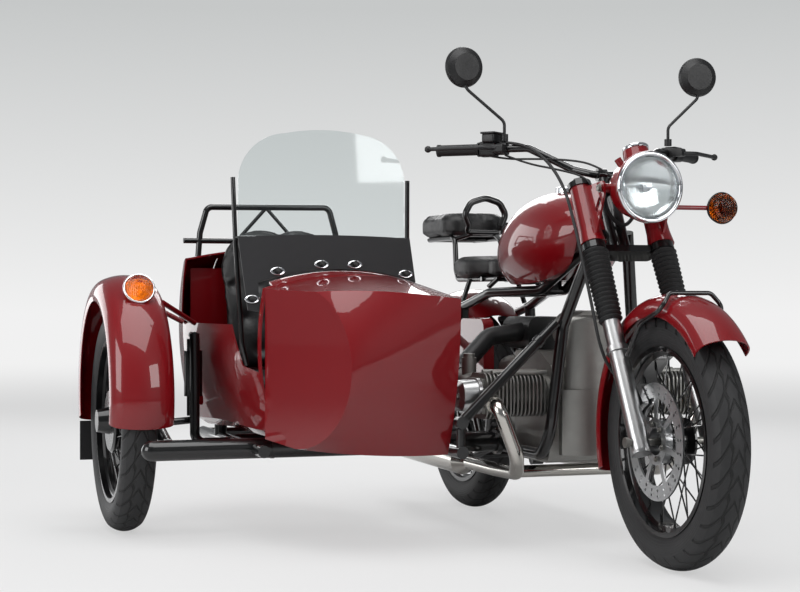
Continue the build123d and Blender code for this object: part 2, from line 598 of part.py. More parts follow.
# Duplex frame: steering head, two downtubes that run back under the engine, backbone and rear loop
HEAD_LOW = fork_point(LOWER_CLAMP_UP + CLAMP_THICK + 6, 0, -FORK_TRAIL_OFFSET)
HEAD_LENGTH = TOP_CLAMP_UP - LOWER_CLAMP_UP - CLAMP_THICK - 12
DOWNTUBE = [(1118, 46, 905), (1019, 110, 640), (1000, DOWNTUBE_LOW_Y, 330), (940, 142, CRADLE_Z)]
CRADLE = [(560, 142, CRADLE_Z), (330, 132, CRADLE_Z), (250, 132, 330)]
REAR_PILLAR = [(230, 118, 690)]
BACKBONE = [(1100, 18, 900), (700, 40, 742), (420, 100, 735), (230, 118, 690), (-20, 118, 644)]
SWING_PIVOT_X = 378
STAND_PIVOT = Vector(470, 0, 246)
STAND_HALF = 119
SWING_PIVOT_Z = 345
SHOCK_Y = 166
SHOCK_EYE = 30
with BuildPart() as bike_frame:
    add_disc(HEAD_LOW, FORK_UP, HEAD_TUBE_DIAMETER, HEAD_LENGTH)
    for side in (-1, 1):
        loop = [(x, side * y, z) for x, y, z in DOWNTUBE + CRADLE + REAR_PILLAR]
        add_bar(loop, [60, 120, 50, 60, 50, 60], FRAME_TUBE)
        add_bar([(x, side * y, z) for x, y, z in BACKBONE], [120, 120, 120], 30)
        add_bar([(-20, side * 118, 644), (236, side * 122, 430)], 0, 26)
        add_bar([(-20, side * 110, 644), (-20, side * (SHOCK_Y - SHOCK_EYE / 2 - SEAT_GAP), 644)], 0, 26)
        add_bar([(262, side * 132, SWING_PIVOT_Z), (SWING_PIVOT_X, side * 132, SWING_PIVOT_Z),
                 (430, side * 132, CRADLE_Z)], 30, 28)
        add_disc((SWING_PIVOT_X, side * (111 + SEAT_GAP), SWING_PIVOT_Z), (0, side, 0), 48, 30)
        add_bar([(236, side * 122, 590), (280 - SEAT_GAP, side * 122, 590)], 0, 18)
        add_disc((STAND_PIVOT.X, side * (STAND_HALF + SEAT_GAP), STAND_PIVOT.Z), (0, side, 0), 30, 26)
    add_disc((700, 0, 742), (0, 0, 1), 50, 30 - SEAT_GAP)
    add_bar([(1122, -12, 905), (1122, 12, 905)], 0, 50)
    for x, z, half in ((560, CRADLE_Z, 142), (700, 742, 40), (430, 734, 98)):
        add_bar([(x, -half, z), (x, half, z)], 0, 26)
    add_disc(HEAD_LOW - FORK_UP, FORK_UP, STEM_DIAMETER + 2 * SHAFT_GAP + 2, HEAD_LENGTH + 2,
             mode=Mode.SUBTRACT)
keep(bike_frame, "bike_frame")

# Crankcase and gearbox, closed castings, on the cradle
CASE_HALF = 124
with BuildPart() as crankcase:
    with BuildSketch(Plane.XZ.offset(-CASE_HALF)):
        with BuildLine():
            Polyline((690, 300), (740, 236), (940, 236), (968, 300), (968, 520), (880, 560), (690, 560),
                     close=True)
        make_face()
    extrude(amount=2 * CASE_HALF)
    fillet(crankcase.edges().filter_by(Axis.Y), 14)
    with BuildSketch(Plane.YZ.offset(480)):
        with Locations((0, 420)):
            RectangleRounded(190, 230, 40)
    with BuildSketch(Plane.YZ.offset(689)):
        with Locations((0, 430)):
            RectangleRounded(236, 250, 50)
    loft()
    for side in (-1, 1):
        add_disc((CYLINDER_X, side * (CASE_HALF - 2), CYLINDER_Z), (0, side, 0), 112,
                 CYLINDER_ROOT_Y - SEAT_GAP - CASE_HALF + 2)
keep(crankcase, "crankcase")

# Front cover of the engine, broad below and narrower above, with a rounded front
with BuildPart() as front_cover:
    for low, high, half, reach in ((262, 452, 100, FRONT_COVER_X), (446, 668, 84, FRONT_COVER_X - 6)):
        with BuildSketch(Plane.XY.offset(low)):
            with BuildLine():
                Line((968 + SEAT_GAP, -half), (968 + SEAT_GAP, half))
                Line((968 + SEAT_GAP, half), (reach - 20, half))
                ThreePointArc((reach - 20, half), (reach + 16, 0), (reach - 20, -half))
                Line((reach - 20, -half), (968 + SEAT_GAP, -half))
            make_face()
        extrude(amount=high - low)
    with Locations((900, 0, 622)):
        Cylinder(60, 150, rotation=(0, 90, 0))
    fillet(front_cover.edges().filter_by(GeomType.CIRCLE).filter_by_position(Axis.Z, 667, 669), 20)
keep(front_cover, "engine_front_cover")

# Finned cylinders with their heads, and the smooth rocker covers
COVER_ROOT_Y = CYLINDER_END_Y + SEAT_GAP
PORT_X, PORT_Y, PORT_Z = CYLINDER_X + 40, 318, CYLINDER_Z - 10
PORT_WAY = Vector(1, 0, -0.25).normalized()
PORT_LENGTH = 38
with BuildPart() as cylinders:
    for side in (-1, 1):
        add_disc((CYLINDER_X, side * CYLINDER_ROOT_Y, CYLINDER_Z), (0, side, 0), 96,
                 CYLINDER_END_Y - CYLINDER_ROOT_Y)
        fin_count = int((CYLINDER_END_Y - CYLINDER_ROOT_Y - 14) / FIN_PITCH)
        for fin in range(fin_count):
            fin_y = CYLINDER_ROOT_Y + 12 + fin * FIN_PITCH
            size = FIN_SIZE if fin < fin_count * 0.55 else FIN_SIZE + 10
            with BuildSketch(Plane(origin=(CYLINDER_X, side * fin_y, CYLINDER_Z), x_dir=(1, 0, 0),
                                   z_dir=(0, side, 0))):
                RectangleRounded(size, size, 26)
        extrude(amount=FIN_THICK)
        add_block((CYLINDER_X - 54, min(side * 292, side * CYLINDER_END_Y), CYLINDER_Z - 50),
                  (CYLINDER_X + 54, max(side * 292, side * CYLINDER_END_Y), CYLINDER_Z + 50))
        add_disc((PORT_X, side * PORT_Y, PORT_Z), PORT_WAY, 52, PORT_LENGTH)
        add_disc((CYLINDER_X - 40, side * 318, CYLINDER_Z + 24), (-1, 0, 0.2), 48, 36)
        for across in (-38, 38):
            add_disc((CYLINDER_X + across, side * CYLINDER_ROOT_Y, CYLINDER_Z + 66), (0, side, 0), 16, 170)
keep(cylinders, "cylinders")

with BuildPart() as rocker_covers:
    for side in (-1, 1):
        cover_plane = Plane(origin=(CYLINDER_X, side * COVER_ROOT_Y, CYLINDER_Z), x_dir=(1, 0, 0),
                            z_dir=(0, side, 0))
        with BuildSketch(cover_plane):
            RectangleRounded(134, 104, 40)
        extrude(amount=10)
        with BuildSketch(cover_plane.offset(10)):
            RectangleRounded(126, 96, 38)
        with BuildSketch(cover_plane.offset(COVER_END_Y - COVER_ROOT_Y - 12)):
            RectangleRounded(116, 86, 34)
        with BuildSketch(cover_plane.offset(COVER_END_Y - COVER_ROOT_Y)):
            RectangleRounded(92, 62, 26)
        loft(ruled=True)
keep(rocker_covers, "rocker_covers")

# Carburettors behind the heads and their trunks to the air cleaner above the gearbox
CARB_X = CYLINDER_X - 76
CARB_Z = CYLINDER_Z + 24
with BuildPart() as carburettors:
    for side in (-1, 1):
        start = Vector(CARB_X - SEAT_GAP, side * 318, CARB_Z + 8)
        add_disc(start, (-1, 0, 0.2), 52, 92)
        add_disc(start + Vector(-44, 0, -34), (0, 0, -1), 50, 34)
        add_disc(start + Vector(-44, 0, 12), (0, 0, 1), 44, 62)
        add_disc(start + Vector(-44, 0, 74), (0, 0, 1), 34, 12)
        add_disc(start + Vector(-44, 0, -36), (0, 0, 1), 44, 60)
keep(carburettors, "carburettors")

with BuildPart() as air_box:
    with Locations((600, 0, 610 + SEAT_GAP)):
        Box(210, 170, 100)
    fillet(air_box.edges().filter_by(Axis.X), 30)
    for side in (-1, 1):
        mouth = Vector(CARB_X - 92, side * 318, CARB_Z + 27)
        add_bar([mouth, mouth + Vector(-50, 0, 10), (640, side * 190, 600), (640, side * 80, 615)],
                [30, 60], 56)
keep(air_box, "air_cleaner")

# Exhaust: header pipes with a crossover, and a silencer low on each side
HEADER_START = Vector(PORT_X, PORT_Y, PORT_Z) + PORT_WAY * (PORT_LENGTH + SEAT_GAP)
HEADER_BEND = HEADER_START + PORT_WAY * 46
with BuildPart() as exhausts:
    for side in (-1, 1):
        start = Vector(HEADER_START.X, side * HEADER_START.Y, HEADER_START.Z)
        bend = Vector(HEADER_BEND.X, side * HEADER_BEND.Y, HEADER_BEND.Z)
        add_bar([start, bend, (1040, side * 262, 268), (955, side * 228, 212),
                 (780, side * 222, 206), (560, side * 222, 206)], [34, 46, 48, 80], PIPE_DIAMETER)
        add_disc(start, PORT_WAY, PIPE_DIAMETER + 8, 12)
        with BuildSketch(Plane(origin=(560, side * 222, 206), z_dir=(-1, 0, 0))):
            Circle(PIPE_DIAMETER / 2)
        with BuildSketch(Plane(origin=(500, side * 222, 206), z_dir=(-1, 0, 0))):
            Circle(SILENCER_DIAMETER / 2)
        with BuildSketch(Plane(origin=(-60, side * 222, 212), z_dir=(-1, 0, 0))):
            Circle(SILENCER_DIAMETER / 2)
        with BuildSketch(Plane(origin=(-150, side * 222, 214), z_dir=(-1, 0, 0))):
            Circle(SILENCER_DIAMETER / 4)
        loft(ruled=True)
        add_disc((-140, side * 222, 214), (-1, 0, 0), 34, 60)
        add_disc((-100, side * 222, 214), (-1, 0, 0), 28, 120, mode=Mode.SUBTRACT)
    add_bar([(860, 222, 206), (860, -222, 206)], 0, PIPE_DIAMETER - 6)
keep(exhausts, "exhausts")

# Fuel tank: sections along the machine, each a flat base, bulged flanks and a crown
# Columns: x, half width at base, base height, widest half width, its height, top height
TANK_SECTIONS = (
    (1010, 34, 872, 62, 915, 968),
    (930, 72, 800, 118, 905, 1012),
    (760, 96, 764, 148, 900, 1038),
    (600, 92, 760, 138, 880, 1004),
    (488, 66, 782, 96, 858, 932),
)
TUNNEL_HALF = 60
with BuildPart() as fuel_tank:
    for x, base, base_z, waist, waist_z, top_z in TANK_SECTIONS:
        shoulder, shoulder_z = waist * 0.66, top_z - (top_z - waist_z) * 0.26
        with BuildSketch(Plane(origin=(x, 0, 0), x_dir=(0, 1, 0), z_dir=(1, 0, 0))):
            with BuildLine():
                Line((-base, base_z), (base, base_z))
                ThreePointArc((base, base_z), (waist, waist_z), (shoulder, shoulder_z))
                ThreePointArc((shoulder, shoulder_z), (0, top_z), (-shoulder, shoulder_z))
                ThreePointArc((-shoulder, shoulder_z), (-waist, waist_z), (-base, base_z))
            make_face()
    loft()
    with BuildSketch(Plane.XZ.offset(-TUNNEL_HALF)):
        with BuildLine():
            Polyline((470, 690), (1030, 690), (1030, 900), (700, 772), (470, 772), close=True)
        make_face()
    extrude(amount=2 * TUNNEL_HALF, mode=Mode.SUBTRACT)
    add_disc((800, 0, 1024), (0.1, 0, 1), 64, 26)
keep(fuel_tank, "fuel_tank")

# Saddle and pillion seat, their carriers and the pillion's hand hoop
with BuildPart() as saddle:
    with BuildSketch(Plane.XY.offset(789.3)):
        with BuildLine():
            Line((100, -118), (100, 118))
            ThreePointArc((100, 118), (210, 138), (330, 80))
            ThreePointArc((330, 80), (470, 0), (330, -80))
            ThreePointArc((330, -80), (210, -138), (100, -118))
        make_face()
    extrude(amount=62)
    fillet(saddle.edges().filter_by_position(Axis.Z, 850, 856), 18)
keep(saddle, "rider_saddle")

with BuildPart() as pillion:
    with BuildSketch(Plane.XY.offset(934)):
        with Locations((-90, 0)):
            RectangleRounded(330, 262, 70)
    extrude(amount=70)
    fillet(pillion.edges().filter_by_position(Axis.Z, 1002, 1006), 26)
keep(pillion, "pillion_seat")

HOOP_X = 124
with BuildPart() as seat_carrier:
    for side in (-1, 1):
        add_bar([(400, side * 60, 780), (92, side * 84, 780), (68, side * 84, 812), (56, side * 84, 922),
                 (-200, side * 84, 922)], [20, 20, 30], 18)
        add_bar([(200, side * 84, 780), (200, side * 111.5, 701.2)], 0, 16)
        add_bar([(390, side * 61, 780), (390, side * 93, 753)], 0, 16)
    for x, z in ((300, 780), (-60, 922), (-180, 922)):
        add_bar([(x, -84, z), (x, 84, z)], 0, 16)
    half_ring = [(HOOP_X, 58, 962), (HOOP_X, 74, 1000), (HOOP_X, 52, 1040)]
    ring = half_ring + [(HOOP_X, 0, 1056)] + [mirrored(point) for point in reversed(half_ring)]
    add_bar(ring, [28, 34, 50, 34, 28], 22)
    add_bar([(HOOP_X, -60, 966), (HOOP_X - 20, -60, 940), (HOOP_X - 20, 60, 940), (HOOP_X, 60, 966)],
            [10, 10], 16)
    add_bar([(HOOP_X - 20, -40, 934), (50, -82, 917)], 0, 14)
    add_bar([(HOOP_X - 20, 40, 934), (50, 82, 917)], 0, 14)
    add_disc((HOOP_X - 20, 70, 934), (0, 0, 1), 38, 40)
keep(seat_carrier, "seat_carrier")

# Rear mudguard, tail lamp and plate bracket
REAR_GUARD_RADIUS = 408
with BuildPart() as rear_guard:
    add_guard(0, 0, TYRE_RADIUS, REAR_GUARD_RADIUS, 99.8, 88, GUARD_SKIN, 52, 196)
keep(rear_guard, "rear_mudguard")

TAIL_WAY = Vector(-cos(radians(29)), 0, sin(radians(29)))
TAIL_ROOT = Vector(0, 0, TYRE_RADIUS) + TAIL_WAY * (REAR_GUARD_RADIUS + SEAT_GAP)
with BuildPart() as tail_lamp:
    add_disc(TAIL_ROOT, TAIL_WAY, 40, 34)
    lamp_foot = Plane(origin=TAIL_ROOT + TAIL_WAY * 15, x_dir=(0, 1, 0), z_dir=(-1, 0, 0.25))
    with BuildSketch(lamp_foot):
        RectangleRounded(96, 74, 20)
    extrude(amount=46, taper=5)
keep(tail_lamp, "tail_lamp")

PLATE_X = -REAR_GUARD_RADIUS - 26
PLATE_WAY = Vector(-cos(radians(12.7)), 0, sin(radians(12.7)))
with BuildPart() as plate:
    with BuildSketch(Plane(origin=(PLATE_X, 0, 400), x_dir=(0, 1, 0), z_dir=(-1, 0, 0))):
        RectangleRounded(190, 150, 8)
        with GridLocations(140, 100, 2, 2):
            Circle(3.25, mode=Mode.SUBTRACT)
    extrude(amount=2.5)
    add_disc(Vector(0, 0, TYRE_RADIUS) + PLATE_WAY * (REAR_GUARD_RADIUS + SEAT_GAP), PLATE_WAY, 24, 36)
keep(plate, "plate_bracket")

# Swing arm with the shaft final drive on the right, and the rear axle
SHOCK_LOW_Z = 364
with BuildPart() as swing_arm:
    add_bar([(SWING_PIVOT_X, 90, SWING_PIVOT_Z), (150, 90, SWING_PIVOT_Z), (0, 78, TYRE_RADIUS)], 60, 38)
    add_bar([(SWING_PIVOT_X, -111, SWING_PIVOT_Z), (SWING_PIVOT_X, 111, SWING_PIVOT_Z)], 0, 34)
    add_disc((0, -48, TYRE_RADIUS), (0, -1, 0), 168, 22)
    with BuildSketch(Plane(origin=(0, -70, TYRE_RADIUS), z_dir=(0, -1, 0))):
        Circle(84)
    with BuildSketch(Plane(origin=(0, -128, TYRE_RADIUS), z_dir=(0, -1, 0))):
        Circle(44)
    loft()
    add_bar([(474, -90, 362), (30, -90, 345)], 0, 40)
    add_disc((0, 46, TYRE_RADIUS), (0, 1, 0), 2 * DRUM_RADIUS - 12, 8)
    add_disc((0, 54, TYRE_RADIUS), (0, 1, 0), 60, 50)
    add_disc((0, -60, TYRE_RADIUS), (0, 1, 0), AXLE_DIAMETER, 120)
    for side in (-1, 1):
        eye_y = SHOCK_Y - SHOCK_EYE / 2 - SEAT_GAP
        add_bar([(40, side * 84, SHOCK_LOW_Z), (40, side * eye_y, SHOCK_LOW_Z)], 0, 26)
keep(swing_arm, "swing_arm")

with BuildPart() as rear_shocks:
    for side in (-1, 1):
        low, high = Vector(40, side * SHOCK_Y, SHOCK_LOW_Z), Vector(-20, side * SHOCK_Y, 644)
        along = (high - low).normalized()
        add_disc(low, along, 22, (high - low).length)
        add_disc(low + along * 30, along, 52, 20)
        add_disc(low + along * 50, along, 46, 110)
        add_disc(low + along * 150, along, 58, 96)
        for eye in (low, high):
            add_disc(eye - Vector(0, SHOCK_EYE / 2, 0), (0, 1, 0), 34, SHOCK_EYE)
keep(rear_shocks, "rear_shocks")

# Side covers, footrests, pedals and horn
with BuildPart() as side_boxes:
    for side in (-1, 1):
        with BuildSketch(Plane(origin=(390, side * 118, 560), x_dir=(1, 0, 0), z_dir=(0, side, 0))):
            RectangleRounded(220, 190, 36)
        extrude(amount=34, taper=6)
keep(side_boxes, "side_boxes")

REST_X = 590
REST_Z = CRADLE_Z + 30
with BuildPart() as footrests:
    for side in (-1, 1):
        add_bar([(REST_X, side * 132, REST_Z), (REST_X, side * 300, REST_Z)], 0, 16)
        add_disc((REST_X, side * 184, REST_Z), (0, side, 0), 30, 112)
        add_disc((REST_X, side * 142, CRADLE_Z + FRAME_TUBE / 2 + SEAT_GAP), (0, 0, 1), 24, 18)
        add_bar([(REST_X, side * 172, REST_Z), (630, side * 172, 330), (790, side * 180, 330),
                 (820, side * 204, 334)], [20, 30], 12)
        add_bar([(246, side * 147.2, 400), (246, side * 262, 400)], 0, 24)
keep(footrests, "footrests")

# Sidecar tub: a raked nose and a round-tailed body, drawn a second time one wall smaller and cut out
TAIL_X = -110
RIB_THICK = 4
NOSE_X = 750
NOSE_FLOOR_Z = 312
NOSE_SIDE = (NOSE_X, -925)
NOSE_TIP = (1080, -765)
# Columns: y, deck rear height, deck front x, its height, nose x, its height, keel x, its height
NOSE_SECTIONS = (
    (TUB_BIKE_Y, 756, 1076, 716, 1056, 510, 968, 272),
    (-650, 786, 1052, 736, 1078, 512, 962, 274),
)
NOSE_SIDE_SECTION = (744, 948, 736, 1080, 534, 868, 292)
# Columns: x, bike side y, outer side y, floor height, bike side top, crown height, outer side top
BODY_SECTIONS = (
    (NOSE_X, TUB_BIKE_Y, -925, NOSE_FLOOR_Z, 756, 788, 744),
    (480, TUB_BIKE_Y, -978, 320, 800, 838, 800),
    (200, TUB_BIKE_Y, -1012, 318, 852, 884, 850),
    (20, TUB_BIKE_Y - 8, -1012, 330, 836, 868, 834),
    (TAIL_X, TUB_BIKE_Y - 48, -960, 400, 748, 772, 746),
)


def nose_sections(inset):
    """Lengthwise sections of the nose, walls moved in, from the bike's side to the slanted side."""
    sections = []
    for y, *outline in NOSE_SECTIONS:
        shift = inset if y == TUB_BIKE_Y else 0
        with BuildSketch(Plane(origin=(0, y - shift, 0), x_dir=(1, 0, 0), z_dir=(0, -1, 0))) as section:
            draw_nose_outline(1, 0, *outline, inset)
        sections.append(section.sketch)
    slant = atan2(NOSE_TIP[1] - NOSE_SIDE[1], NOSE_TIP[0] - NOSE_SIDE[0])
    outward = Vector(sin(slant), -cos(slant), 0)
    side = Plane(origin=Vector(*NOSE_SIDE, 0) - outward * inset, x_dir=(cos(slant), sin(slant), 0),
                 z_dir=outward)
    with BuildSketch(side) as section:
        draw_nose_outline(1 / cos(slant), NOSE_X, *NOSE_SIDE_SECTION, inset)
    sections.append(section.sketch)
    return sections


def draw_nose_outline(stretch, start, deck, front_x, front_z, nose_x, nose_z, keel_x, keel_z, inset):
    """Draw one lengthwise section of the nose: deck, rounded front, keel and a rear line."""
    rear = (NOSE_X - start) * stretch + (RIB_THICK if inset else 0)
    front = ((front_x - start) * stretch - inset, front_z - inset)
    nose = ((nose_x - start) * stretch - inset, nose_z)
    keel = ((keel_x - start) * stretch - inset, keel_z + inset)
    with BuildLine() as outline:
        Line((rear, deck - inset), front)
        ThreePointArc(front, nose, keel)
        Line(keel, (rear, NOSE_FLOOR_Z + inset))
        Line((rear, NOSE_FLOOR_Z + inset), (rear, deck - inset))
    make_face(outline.edges())


def body_section(x, bike_y, outer_y, floor, bike_top, crown, outer_top, inset):
    """One crosswise section of the body: upright sides, a crowned top and a chine to the floor."""
    low, high = bike_y - inset, outer_y + inset
    middle = (low + high) / 2
    bulge = 14
    with BuildSketch(Plane(origin=(x, 0, 0), x_dir=(0, 1, 0), z_dir=(1, 0, 0))) as section:
        with BuildLine():
            Line((low, floor + inset), (low, bike_top - inset))
            ThreePointArc((low, bike_top - inset), (middle, crown - inset), (high, outer_top - inset))
            ThreePointArc((high, outer_top - inset), (high - bulge, (floor + outer_top) / 2),
                          (high + 20, floor + inset + 24))
            Line((high + 20, floor + inset + 24), (high + 60, floor + inset))
            Line((high + 60, floor + inset), (low, floor + inset))
        make_face()
    return section.sketch


def make_shape(inset):
    """The whole tub as one closed shape, its walls moved in by an inset."""
    with BuildPart() as nose_shape:
        loft(nose_sections(inset))
    with BuildPart() as body_shape:
        loft([body_section(x + (inset if x == TAIL_X else 0), *row, inset) for x, *row in BODY_SECTIONS])
    return nose_shape.part, body_shape.part


OUTER_NOSE, OUTER_BODY = make_shape(0)
INNER_NOSE, INNER_BODY = make_shape(TUB_WALL)
BULKHEAD_X = 18
LID_FRONT_X = 12
LID_REAR_X = -88
LID_LOW_Y = -900
LID_HIGH_Y = -540
LID_GAP = 4
LID_HINGE = (LID_FRONT_X - 2, -720, 882)
DOOR_FRONT_X = NOSE_X - 12
COCKPIT_REAR_X = 60
COCKPIT_FRONT_X = 700

with BuildPart() as tub:
    add(OUTER_NOSE)
    add(OUTER_BODY)
    add(INNER_NOSE, mode=Mode.SUBTRACT)
    add(INNER_BODY, mode=Mode.SUBTRACT)
    inner_y = TUB_BIKE_Y - TUB_WALL
    add_block((NOSE_X - 20, inner_y - 465, NOSE_FLOOR_Z + TUB_WALL + 2), (NOSE_X + 20, inner_y, 735),
              mode=Mode.SUBTRACT)
    # Cockpit opening in the top, and the low step in the outer side
    with BuildSketch(Plane.XY.offset(640)):
        with Locations(((COCKPIT_REAR_X + COCKPIT_FRONT_X) / 2, -760)):
            RectangleRounded(COCKPIT_FRONT_X - COCKPIT_REAR_X, 564, 60)
    extrude(amount=400, mode=Mode.SUBTRACT)
    with BuildSketch(Plane.XZ.offset(900)):
        with BuildLine():
            Polyline((DOOR_FRONT_X, 503), (640, 520), (560, 640), (500, 720), (400, 790),
                     (280, 850), (280, 1000), (DOOR_FRONT_X, 1000), close=True)
        make_face()
    extrude(amount=200, mode=Mode.SUBTRACT)
    # Slot through the outer side for the wheel's swing arm
    with BuildSketch(Plane.XZ.offset(930)):
        with Locations((214, 470)):
            RectangleRounded(90, 176, 30)
    extrude(amount=120, mode=Mode.SUBTRACT)
    # Boot opening behind the seat
    add_block((LID_REAR_X, LID_LOW_Y, 600), (LID_FRONT_X, LID_HIGH_Y, 1000), mode=Mode.SUBTRACT)
    # Hinge eyes beside the lid's own
    for across in (-820, -620):
        add_disc((LID_HINGE[0], across + 20 + SEAT_GAP, LID_HINGE[2]), (0, 1, 0), 12, 18)
        add_block((LID_HINGE[0], across + 20 + SEAT_GAP, 862), (LID_HINGE[0] + 14, across + 38, LID_HINGE[2]))
    # Bulkhead between the seat and the boot
    add_block((BULKHEAD_X, -990, 335), (BULKHEAD_X + TUB_WALL, TUB_BIKE_Y - TUB_WALL - 3, 815))
keep(tub, "sidecar_tub")

# Boot lid, cut from the same skin, on a hinge along its front edge
with BuildPart() as lid:
    add(OUTER_BODY)
    add(INNER_BODY, mode=Mode.SUBTRACT)
    add_block((LID_REAR_X + LID_GAP, LID_LOW_Y + LID_GAP, 640),
              (LID_FRONT_X - LID_GAP, LID_HIGH_Y - LID_GAP, 1000), mode=Mode.INTERSECT)
    with BuildSketch(Plane(origin=(LID_REAR_X + 14, -720, 806), z_dir=(-0.6, 0, 1))):
        Circle(11)
    extrude(amount=22)
    for across in (-820, -620):
        add_disc((LID_HINGE[0], across - 20, LID_HINGE[2]), (0, 1, 0), 12, 40)
        add_block((LID_FRONT_X - 24, across - 12, 856), (LID_FRONT_X - 4, across + 12, LID_HINGE[2] + 3))
keep(lid, "boot_lid")

# Seat cushion and the tall back
with BuildPart() as cushion:
    with BuildSketch(Plane.XY.offset(372)):
        with Locations((360, -716)):
            RectangleRounded(400, 420, 60)
    extrude(amount=110)
    fillet(cushion.edges().filter_by_position(Axis.Z, 480, 484), 30)
    add_block((200, -880, 329), (520, -540, 373))
keep(cushion, "sidecar_cushion")

BACK_LEAN = 12
with BuildPart() as seat_back:
    lean_way = (cos(radians(BACK_LEAN)), 0, sin(radians(BACK_LEAN)))
    back_plane = Plane(origin=(198, -710, 485.6), x_dir=(0, 1, 0), z_dir=lean_way)
    with BuildSketch(back_plane):
        with BuildLine():
            Polyline((-196, 0), (196, 0), (206, 330))
            ThreePointArc((206, 330), (150, 452), (0, 476))
            ThreePointArc((0, 476), (-150, 452), (-206, 330))
            Line((-206, 330), (-196, 0))
        make_face()
    extrude(amount=-52)
    fillet(seat_back.faces().sort_by(Axis.X)[-1].edges(), 20)
keep(seat_back, "sidecar_seat_back")

# Apron from the deck up to the screen, with a flap down the door's front edge
APRON_X = 704
APRON_LEAN = 18
APRON_PLANE = Plane(origin=(APRON_X, 0, 758.4), x_dir=(0, 1, 0),
                    z_dir=(cos(radians(APRON_LEAN)), 0, sin(radians(APRON_LEAN))))
with BuildPart() as apron:
    with BuildSketch(APRON_PLANE):
        with BuildLine():
            Line((-452, 6), (-456, 144))
            ThreePointArc((-456, 144), (-716, 152), (-984, 144))
            Line((-984, 144), (-972, -80))
            Line((-972, -80), (-940, -84))
            Line((-940, -84), (-934, 4))
            ThreePointArc((-934, 4), (-690, 46), (-452, 6))
        make_face()
    extrude(amount=6)
keep(apron, "apron")

SCREEN_X = 652
with BuildPart() as windscreen:
    with BuildSketch(Plane(origin=(SCREEN_X, 0, 0), x_dir=(0, 1, 0), z_dir=(1, 0, 0))):
        with BuildLine():
            Line((-470, 880), (-470, 1064))
            ThreePointArc((-470, 1064), (-520, 1170), (-600, 1204))
            ThreePointArc((-600, 1204), (-720, 1216), (-840, 1204))
            ThreePointArc((-840, 1204), (-930, 1168), (-982, 1064))
            Line((-982, 1064), (-982, 880))
            Line((-982, 880), (-470, 880))
        make_face()
    extrude(amount=SCREEN_THICK)
keep(windscreen, "windscreen")

with BuildPart() as posts:
    post_x = SCREEN_X - 9
    add_bar([(post_x, -456, 1072), (post_x, -457, 830)], 0, 14)
    outer_route = [(post_x, -995, 1072), (post_x, -988, 900), (post_x + 4, -968, 580), (post_x + 4, -953, 521)]
    add_bar(outer_route, [120, 60], 14)
    add_bar([(post_x, -457, 892), (post_x, -990, 892)], 0, 17.4)
keep(posts, "screen_posts")

# Luggage hoop behind the seat
RACK_X = 36
with BuildPart() as rack:
    add_bar([(RACK_X, -968, 853.4), (RACK_X, -962, 930), (RACK_X, -938, 1014), (RACK_X, -526, 1018),
             (RACK_X, -502, 930), (RACK_X, -498, 862)], [24, 24, 24, 24], 20)
    add_bar([(RACK_X, -1016, 904), (RACK_X, -480, 904)], 0, 18)
    add_bar([(RACK_X, -840, 904), (RACK_X, -740, 1014)], 0, 12)
    add_bar([(RACK_X, -640, 904), (RACK_X, -740, 1014)], 0, 12)
keep(rack, "luggage_rack")

# Sidecar frame: rails under the tub, cross tubes to the motorcycle and the stout front tube
RAIL_Z = 282
TUBE_X = 650
OUTER_RAIL_Y = -930
INNER_RAIL_Y = -425
SHOCK_TOP_Z = 604
STRUT_FRONT_X = 1022
STRUT_REAR_X = 200
STRUT_LOW_Z = 348
with BuildPart() as sidecar_frame:
    add_bar([(60, INNER_RAIL_Y, RAIL_Z), (STRUT_FRONT_X + 16, INNER_RAIL_Y, RAIL_Z)], 0, 36)
    add_bar([(-60, OUTER_RAIL_Y, RAIL_Z - 6), (760, OUTER_RAIL_Y, RAIL_Z - 6)], 0, 36)
    add_bar([(TUBE_X, -1236, RAIL_Z - 4), (TUBE_X, -160, RAIL_Z - 4)], 0, SIDECAR_TUBE)
    with Locations((TUBE_X, -1236, RAIL_Z - 4)):
        Sphere(SIDECAR_TUBE / 2)
    add_bar([(290, OUTER_RAIL_Y, RAIL_Z - 6), (290, -152, RAIL_Z - 6)], 0, 34)
    add_bar([(-40, OUTER_RAIL_Y, RAIL_Z - 6), (70, INNER_RAIL_Y, RAIL_Z)], 0, 30)
    add_disc((TUBE_X, -884, RAIL_Z - 4), (0, 1, 0), 63, 10)
    add_disc((TUBE_X, -176, RAIL_Z - 4), (0, 1, 0), 78, 16)
    add_bar([(382, OUTER_RAIL_Y, RAIL_Z - 6), (382, -1052, RAIL_Z - 6), (376, -1052, 610)], 30, 30)
    add_bar([(378, -1052, SHOCK_TOP_Z), (310, -1046, SHOCK_TOP_Z)], 0, 22)
    add_bar([(520, OUTER_RAIL_Y, RAIL_Z - 6), (520, -1136.7, RAIL_Z - 6)], 0, 32)
    for x in (STRUT_FRONT_X, STRUT_REAR_X):
        add_bar([(x, INNER_RAIL_Y, RAIL_Z), (x, INNER_RAIL_Y, STRUT_LOW_Z)], 0, 26)
    add_disc((200, OUTER_RAIL_Y, RAIL_Z), (0, 0, 1), 40, 34.5)
    add_block((180, INNER_RAIL_Y - 50, RAIL_Z), (220, INNER_RAIL_Y, RAIL_Z + 34.5))
keep(sidecar_frame, "sidecar_frame")

with BuildPart() as struts:
    strut_ends = ((Vector(1030.5, -135.6, 647.5), STRUT_FRONT_X), (Vector(235, -148, 600), STRUT_REAR_X))
    for high, low_x in strut_ends:
        low = Vector(low_x, INNER_RAIL_Y, STRUT_LOW_Z + 18 + SEAT_GAP)
        toward = (high - low).normalized()
        add_disc(low - Vector(15, 0, 0), (1, 0, 0), 36, 30)
        add_bar([low + toward * 10, high - toward * 70], 0, 30)
        add_disc(high - toward * 84, toward, 36, 18)
        add_disc(high - toward * 70, toward, 26, 70)
keep(struts, "sidecar_struts")

